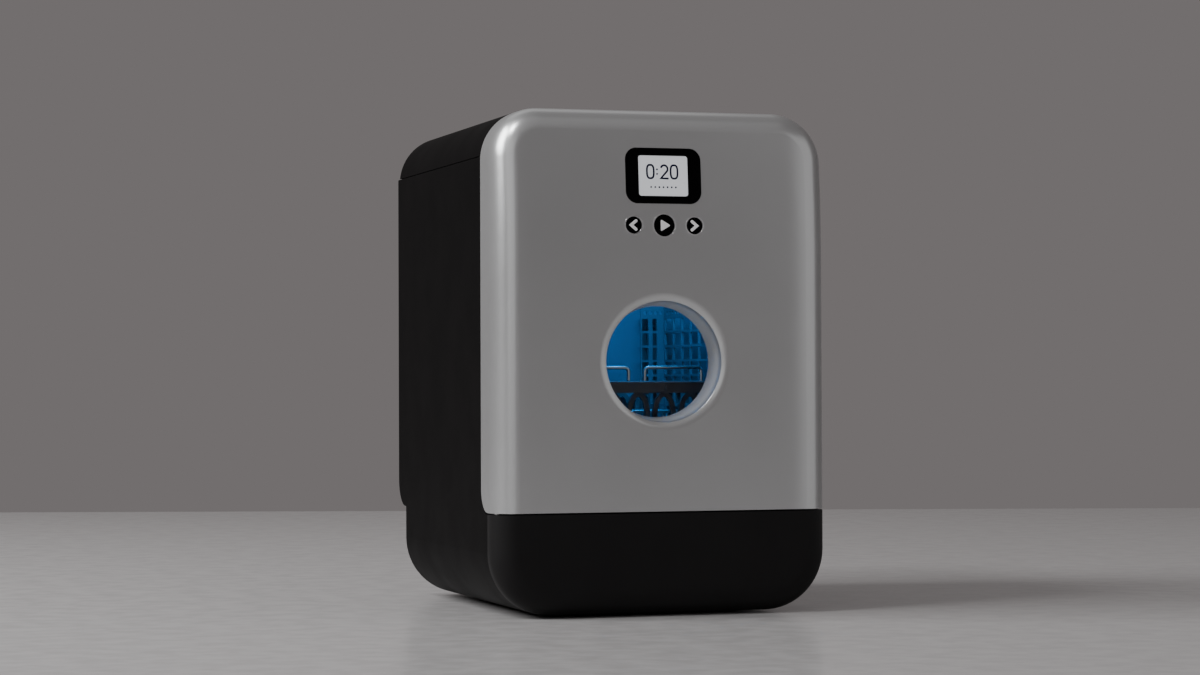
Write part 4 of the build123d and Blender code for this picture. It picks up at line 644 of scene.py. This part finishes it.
@dataclass
class ButtonTrim:
    """Symbols on the three buttons and the bright rims round their holes."""

    shop: Shop
    face: DoorFace
    z: float = 377.0 * MM
    gap: float = 0.4 * MM
    rim_radius: float = 0.6 * MM
    rim_flatness: float = 0.5
    rim_sink: float = 0.125 * MM
    rim_around: int = 96
    rim_section: int = 16
    symbol_lift: float = 0.12 * MM
    stroke_half: float = 1.5 * MM
    chevron_wide: float = 2.45 * MM
    chevron_tall: float = 4.1 * MM
    triangle_reach: float = 0.50
    triangle_corner: float = 0.08
    corner_steps: int = 7
    places: tuple[ButtonPlace, ...] = (
        ButtonPlace("button_left", -31.0 * MM, 7.9 * MM, Body.LEFT),
        ButtonPlace("button_start", 0.0, 10.3 * MM, Body.START),
        ButtonPlace("button_right", 31.0 * MM, 7.9 * MM, Body.RIGHT),
    )

    def rim(self, place: ButtonPlace) -> bpy.types.Object:
        """Makes the rounded rim: a small flattened circle carried round the hole, on the leaning face.

        A point is (x0 + r cos(b), face(z) + sink - f t sin(a), z0 + r sin(b)), where t is the small radius,
        r = ring + t cos(a) and f is the flatness.

        Args:
            place: The button.

        Returns:
            The rim, riding on the door.
        """
        around = np.linspace(0.0, TURN, self.rim_around, endpoint=False)
        section = np.linspace(0.0, TURN, self.rim_section, endpoint=False)
        ring = place.radius + self.gap + self.rim_radius
        radius = ring + self.rim_radius * np.cos(section)[:, None]
        x = place.x + radius * np.cos(around)
        z = self.z + radius * np.sin(around)
        out = self.rim_radius * self.rim_flatness * np.sin(section)[:, None]
        y = self.face.depth(z) + self.rim_sink - out
        points = np.stack([x, y, z], axis=-1).reshape(-1, 3)
        open_faces = closed_grid(self.rim_section + 1, self.rim_around)
        faces = [tuple(i % len(points) for i in quad) for quad in open_faces]
        piece = put_mesh(f"{place.node}_rim", (points, faces), self.shop.material(BRIGHT_RIM))
        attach(piece, Body.DOOR.value)
        return piece

    def chevron(self, pointing: int) -> Shape:
        """Gives an arrow head of two strokes.

        Args:
            pointing: -1 for left, 1 for right.

        Returns:
            Points and faces in the plane of the button.
        """
        wide, tall = pointing * self.chevron_wide, self.chevron_tall
        path = np.array([(-wide, tall), (wide, 0.0), (-wide, -tall)])
        return stroke(path, self.stroke_half, self.symbol_lift)

    def triangle(self, radius: float) -> Shape:
        """Gives a filled triangle with rounded corners, as rings that shrink to its middle.

        Each corner is an arc of radius c = 0.08 r round a point at e = 0.50 r, and ring i is that outline
        times scale(i), lifted by lift(i).

        Args:
            radius: Radius r of the button.

        Returns:
            Points and faces in the plane of the button.
        """
        turns = np.linspace(-TURN / 6, TURN / 6, self.corner_steps)
        heads = np.array([0.0, TURN / 3, 2.0 * TURN / 3])
        angles = heads[:, None] + turns
        tips = self.triangle_reach * radius * np.stack([np.cos(heads), np.sin(heads)], axis=-1)
        arcs = self.triangle_corner * radius * np.stack([np.cos(angles), np.sin(angles)], axis=-1)
        outline = (tips[:, None, :] + arcs).reshape(-1, 2)
        scale = np.array([0.02, 0.5, 0.85, 0.97, 1.0, 0.97])
        lift = np.array([1.0, 1.0, 1.0, 0.7, 0.0, -0.7]) * self.symbol_lift
        flat = outline[None] * scale[:, None, None]
        out = np.repeat(lift[:, None], len(outline), axis=1)
        points = np.stack([flat[..., 0], out, flat[..., 1]], axis=-1).reshape(-1, 3)
        faces = closed_grid(len(scale), len(outline))
        faces.append(tuple(range(len(outline))))
        faces.append(tuple(range((len(scale) - 1) * len(outline), len(scale) * len(outline))))
        return points, faces

    def symbol(self, place: ButtonPlace) -> bpy.types.Object:
        """Makes a button's symbol, which lies on the button's flat face.

        Args:
            place: The button.

        Returns:
            The symbol, riding on its button.
        """
        if place.body is Body.START:
            points, faces = self.triangle(place.radius)
        else:
            points, faces = self.chevron(-1 if place.body is Body.LEFT else 1)
        low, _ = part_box(place.node)
        spot = np.array([place.x, low.y, self.z])
        outwards = np.array([1.0, -1.0, 1.0])
        piece = put_mesh(f"{place.node}_symbol", (spot + points * outwards, faces), self.shop.material(SYMBOL_WITH_PAINTED_GLOW))
        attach(piece, place.body.value)
        return piece

    def build(self) -> list[bpy.types.Object]:
        """Makes the rims and symbols of all the buttons."""
        return [piece for place in self.places for piece in (self.rim(place), self.symbol(place))]


@dataclass
class DisplayMarks:
    """Plain marks on the display: a clock figure and a row of dots."""

    shop: Shop
    face: DoorFace
    z: float = 425.0 * MM
    sink: float = 0.4 * MM
    digit_height: float = 13.0 * MM
    digit_width: float = 7.0 * MM
    squareness: float = 0.7
    nought_steps: int = 33
    bow_ends: tuple[float, float] = (0.85 * math.pi, -0.25 * math.pi)
    bow_steps: int = 14
    bow_share: float = 0.98
    bow_middle: float = 0.42
    bow_rise: float = 0.56
    stroke_half: float = 0.95 * MM
    lift: float = 0.06 * MM
    digits_z: float = 4.0 * MM
    colon_step: float = 0.01 * MM
    dots_z: float = -11.0 * MM
    dots_each_side: int = 3
    dot_pitch: float = 4.2 * MM
    dot_half: float = 0.9 * MM
    dot_step: float = 0.02 * MM
    figures: tuple[tuple[str, float], ...] = (
        ("0", -13.0 * MM), (":", -6.2 * MM), ("2", 1.2 * MM), ("0", 11.2 * MM),
    )

    def colon(self, x: float) -> list[Shape]:
        """Gives the two round dots of a colon.

        Args:
            x: Middle of the colon.

        Returns:
            Points and faces of each dot.
        """
        third, step = self.digit_height / 6, self.colon_step
        middles = (self.digits_z - third, self.digits_z + third)
        paths = [np.array([(x, z - step), (x, z + step)]) for z in middles]
        return [stroke(path, self.stroke_half, self.lift) for path in paths]

    def nought(self) -> np.ndarray:
        """Gives the path of a nought: (w |cos a|^p, h |sin a|^p) with the signs of cos a and sin a.

        Returns:
            Points as (x, z) rows, round the figure's middle.
        """
        turn = np.linspace(TURN / 4, 5 * TURN / 4, self.nought_steps)
        bend = np.stack([np.cos(turn), np.sin(turn)], axis=-1)
        half = np.array([self.digit_width, self.digit_height]) / 2
        return np.sign(bend) * np.abs(bend) ** self.squareness * half

    def two(self) -> np.ndarray:
        """Gives the path of a two: a bow over the top, then down to the left and along the foot.

        The bow is (s w cos a, m h + r h sin a), with a from its left end to its right.

        Returns:
            Points as (x, z) rows, round the figure's middle.
        """
        w, h = self.digit_width / 2, self.digit_height / 2
        turn = np.linspace(*self.bow_ends, self.bow_steps)
        x = np.cos(turn) * w * self.bow_share
        z = h * self.bow_middle + np.sin(turn) * h * self.bow_rise
        return np.vstack([np.stack([x, z], axis=-1), [(-w, -h * self.bow_share)], [(w, -h)]])

    def digit(self, figure: str, x: float) -> list[Shape]:
        """Gives the strokes of one figure.

        Args:
            figure: "0", "2" or ":".
            x: Middle of the figure.

        Returns:
            Points and faces of each stroke.
        """
        if figure == ":":
            return self.colon(x)
        path = self.nought() if figure == "0" else self.two()
        return [stroke(path + np.array([x, self.digits_z]), self.stroke_half, self.lift)]

    def dots(self) -> list[Shape]:
        """Gives the row of dots below the figures."""
        middles = np.arange(-self.dots_each_side, self.dots_each_side + 1) * self.dot_pitch
        ends = np.array([(-self.dot_step, self.dots_z), (self.dot_step, self.dots_z)])
        return [stroke(ends + np.array([x, 0.0]), self.dot_half, self.lift) for x in middles]

    def build(self) -> list[bpy.types.Object]:
        """Makes the marks, bent to the face's lean, just proud of the screen.

        Returns:
            One piece with all the marks.
        """
        strokes = [shape for figure, x in self.figures for shape in self.digit(figure, x)]
        points, faces = join_shapes(strokes + self.dots())
        z = points[:, 2] + self.z
        y = self.face.depth(z) + self.sink - points[:, 1]
        marks = np.stack([points[:, 0], y, z], axis=-1)
        piece = put_mesh("display_marks", (marks, faces), self.shop.material(NAVY))
        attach(piece, Body.DOOR.value)
        return [piece]


@dataclass
class SolidFinishes:
    """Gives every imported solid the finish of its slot, or its own finish where it has one."""

    shop: Shop
    frame: dict

    def build(self) -> list[bpy.types.Object]:
        """Assigns the materials to the solids' own slots.

        Returns:
            The solids.
        """
        slots = {entry["node"]: entry["material_slot"] for entry in self.frame["record"]["subparts"]}
        dressed = []
        for name, solid in self.frame["nodes"].items():
            material = self.shop.material(NODE_FINISH.get(name, SLOT_FINISH[slots[name]]))
            if not solid.material_slots:
                solid.data.materials.append(material)
            for place in solid.material_slots:
                place.material = material
            dressed.append(solid)
        return dressed


@dataclass(frozen=True)
class Softbox:
    """Soft rectangular light: where it hangs, the point it looks at, its size in metres and its watts."""

    name: str
    place: Place
    aim: Place
    size: tuple[float, float]
    power: float
    colour: Colour = (1.0, 1.0, 1.0)

    def build(self) -> bpy.types.Object:
        """Makes the light, turned to look at its aim.

        Returns:
            The light.
        """
        data = bpy.data.lights.new(self.name, "AREA")
        data.shape = "RECTANGLE"
        data.size, data.size_y = self.size
        data.energy = self.power
        data.color = self.colour
        light = bpy.data.objects.new(self.name, data)
        light.location = self.place
        light.rotation_mode = "QUATERNION"
        light.rotation_quaternion = (Vector(self.aim) - Vector(self.place)).to_track_quat("-Z", "Y")
        bpy.context.scene.collection.objects.link(light)
        return light


@dataclass
class Studio:
    """Plain pale floor, soft lights and the camera at the photograph's angle."""

    shop: Shop
    camera_place: Place = (-0.8995, -2.8415, 0.224)
    yaw: float = math.radians(17.485)
    pitch: float = math.radians(0.92)
    roll: float = math.radians(-0.21)
    lens: float = 86.9
    sensor_width: float = 36.0
    clip: tuple[float, float] = (0.05, 50.0)
    wall_colour: Colour = (0.170, 0.157, 0.157)
    floor_half_width: float = 5.0
    floor_near: float = -1.5
    floor_reach: float = 5.15
    floor_drop: float = 0.2 * MM
    floor_rows: int = 3
    lights: tuple[Softbox, ...] = (
        Softbox("key", (-2.85, 0.3, 2.0), (0.0, 0.0, 0.35), (1.4, 1.8), 108.0),
        Softbox("rake", (-1.9, -0.8, 2.7), (0.0, -0.1, 0.3), (0.65, 0.65), 37.0),
        Softbox("left", (-2.3, -2.5, 1.2), (0.0, 0.0, 0.3), (2.6, 2.0), 9.0),
        Softbox("top", (0.0, 1.6, 2.6), (0.0, 0.0, 0.3), (2.2, 1.4), 3.2),
        Softbox("side", (2.4, -1.3, 0.8), (0.0, 0.0, 0.3), (3.4, 2.2), 9.5),
        Softbox("front", (-0.3, -2.2, 3.3), (0.0, 0.0, 0.3), (4.0, 3.0), 4.5),
        Softbox("chamber", (0.0, -0.108, 0.408), (0.0, 0.12, 0.25), (0.14, 0.012), 0.62, (0.02, 0.38, 1.0)),
    )

    def camera(self) -> bpy.types.Object:
        """Makes the camera: it looks along +Y turned towards +X by the yaw, and up by the pitch.

        Returns:
            The camera.
        """
        data = bpy.data.cameras.new("camera")
        data.lens = self.lens
        data.sensor_width = self.sensor_width
        data.clip_start, data.clip_end = self.clip
        camera = bpy.data.objects.new("camera", data)
        camera.rotation_mode = "QUATERNION"
        camera.location = self.camera_place
        look = Euler((math.pi / 2 + self.pitch, 0.0, -self.yaw), "XYZ").to_matrix()
        camera.rotation_quaternion = (look @ Matrix.Rotation(self.roll, 3, "Z")).to_quaternion()
        bpy.context.scene.collection.objects.link(camera)
        bpy.context.scene.camera = camera
        return camera

    def floor(self) -> bpy.types.Object:
        """Makes the pale floor as a flat grid under the camera's line of sight.

        The grid runs from behind the camera to the reach, and is turned by the yaw, so that its far edge lies
        level in the view.

        Returns:
            The floor.
        """
        count = self.floor_rows
        sideways = np.linspace(-self.floor_half_width, self.floor_half_width, count)
        onwards = np.linspace(self.floor_near, self.floor_reach, count)
        across, along = np.meshgrid(sideways, onwards, indexing="ij")
        cosine, sine = math.cos(self.yaw), math.sin(self.yaw)
        turn = np.array([[cosine, -sine], [sine, cosine]])
        flat = np.stack([across.ravel(), along.ravel()], axis=-1) @ turn + np.array(self.camera_place[:2])
        points = np.column_stack([flat, np.full(count**2, -self.floor_drop)])
        starts = [count * i + j for i in range(count - 1) for j in range(count - 1)]
        faces = [(start, start + count, start + count + 1, start + 1) for start in starts]
        mesh = bpy.data.meshes.new("floor")
        mesh.from_pydata(points.tolist(), [], faces)
        mesh.materials.append(self.shop.material(FLOOR))
        floor = bpy.data.objects.new("floor", mesh)
        bpy.context.scene.collection.objects.link(floor)
        return floor

    def surround(self) -> None:
        """Makes an even surround in the warm grey of a plain wall."""
        world = bpy.data.worlds.new("surround")
        world.use_nodes = True
        wall = world.node_tree.nodes["Background"]
        wall.inputs["Color"].default_value = (*self.wall_colour, 1.0)
        wall.inputs["Strength"].default_value = 1.0
        bpy.context.scene.world = world

    def build(self) -> list[bpy.types.Object]:
        """Makes the surround, the camera, the floor and the lights.

        Returns:
            All but the surround.
        """
        self.surround()
        return [self.camera(), self.floor(), *[light.build() for light in self.lights]]


def main() -> None:
    """Loads the solids, dresses them, adds the new pieces and the studio, and logs each piece's name."""
    logging.basicConfig(level=logging.INFO, format="%(name)s: %(message)s")
    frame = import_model()
    shop = Shop()
    face = DoorFace()
    makers = (Studio(shop), SolidFinishes(shop, frame), ButtonTrim(shop, face), DisplayMarks(shop, face))
    for maker in makers:
        for piece in maker.build():
            LOG.info("%s: %s", type(maker).__name__, piece.name)


if __name__ == "__main__":
    main()
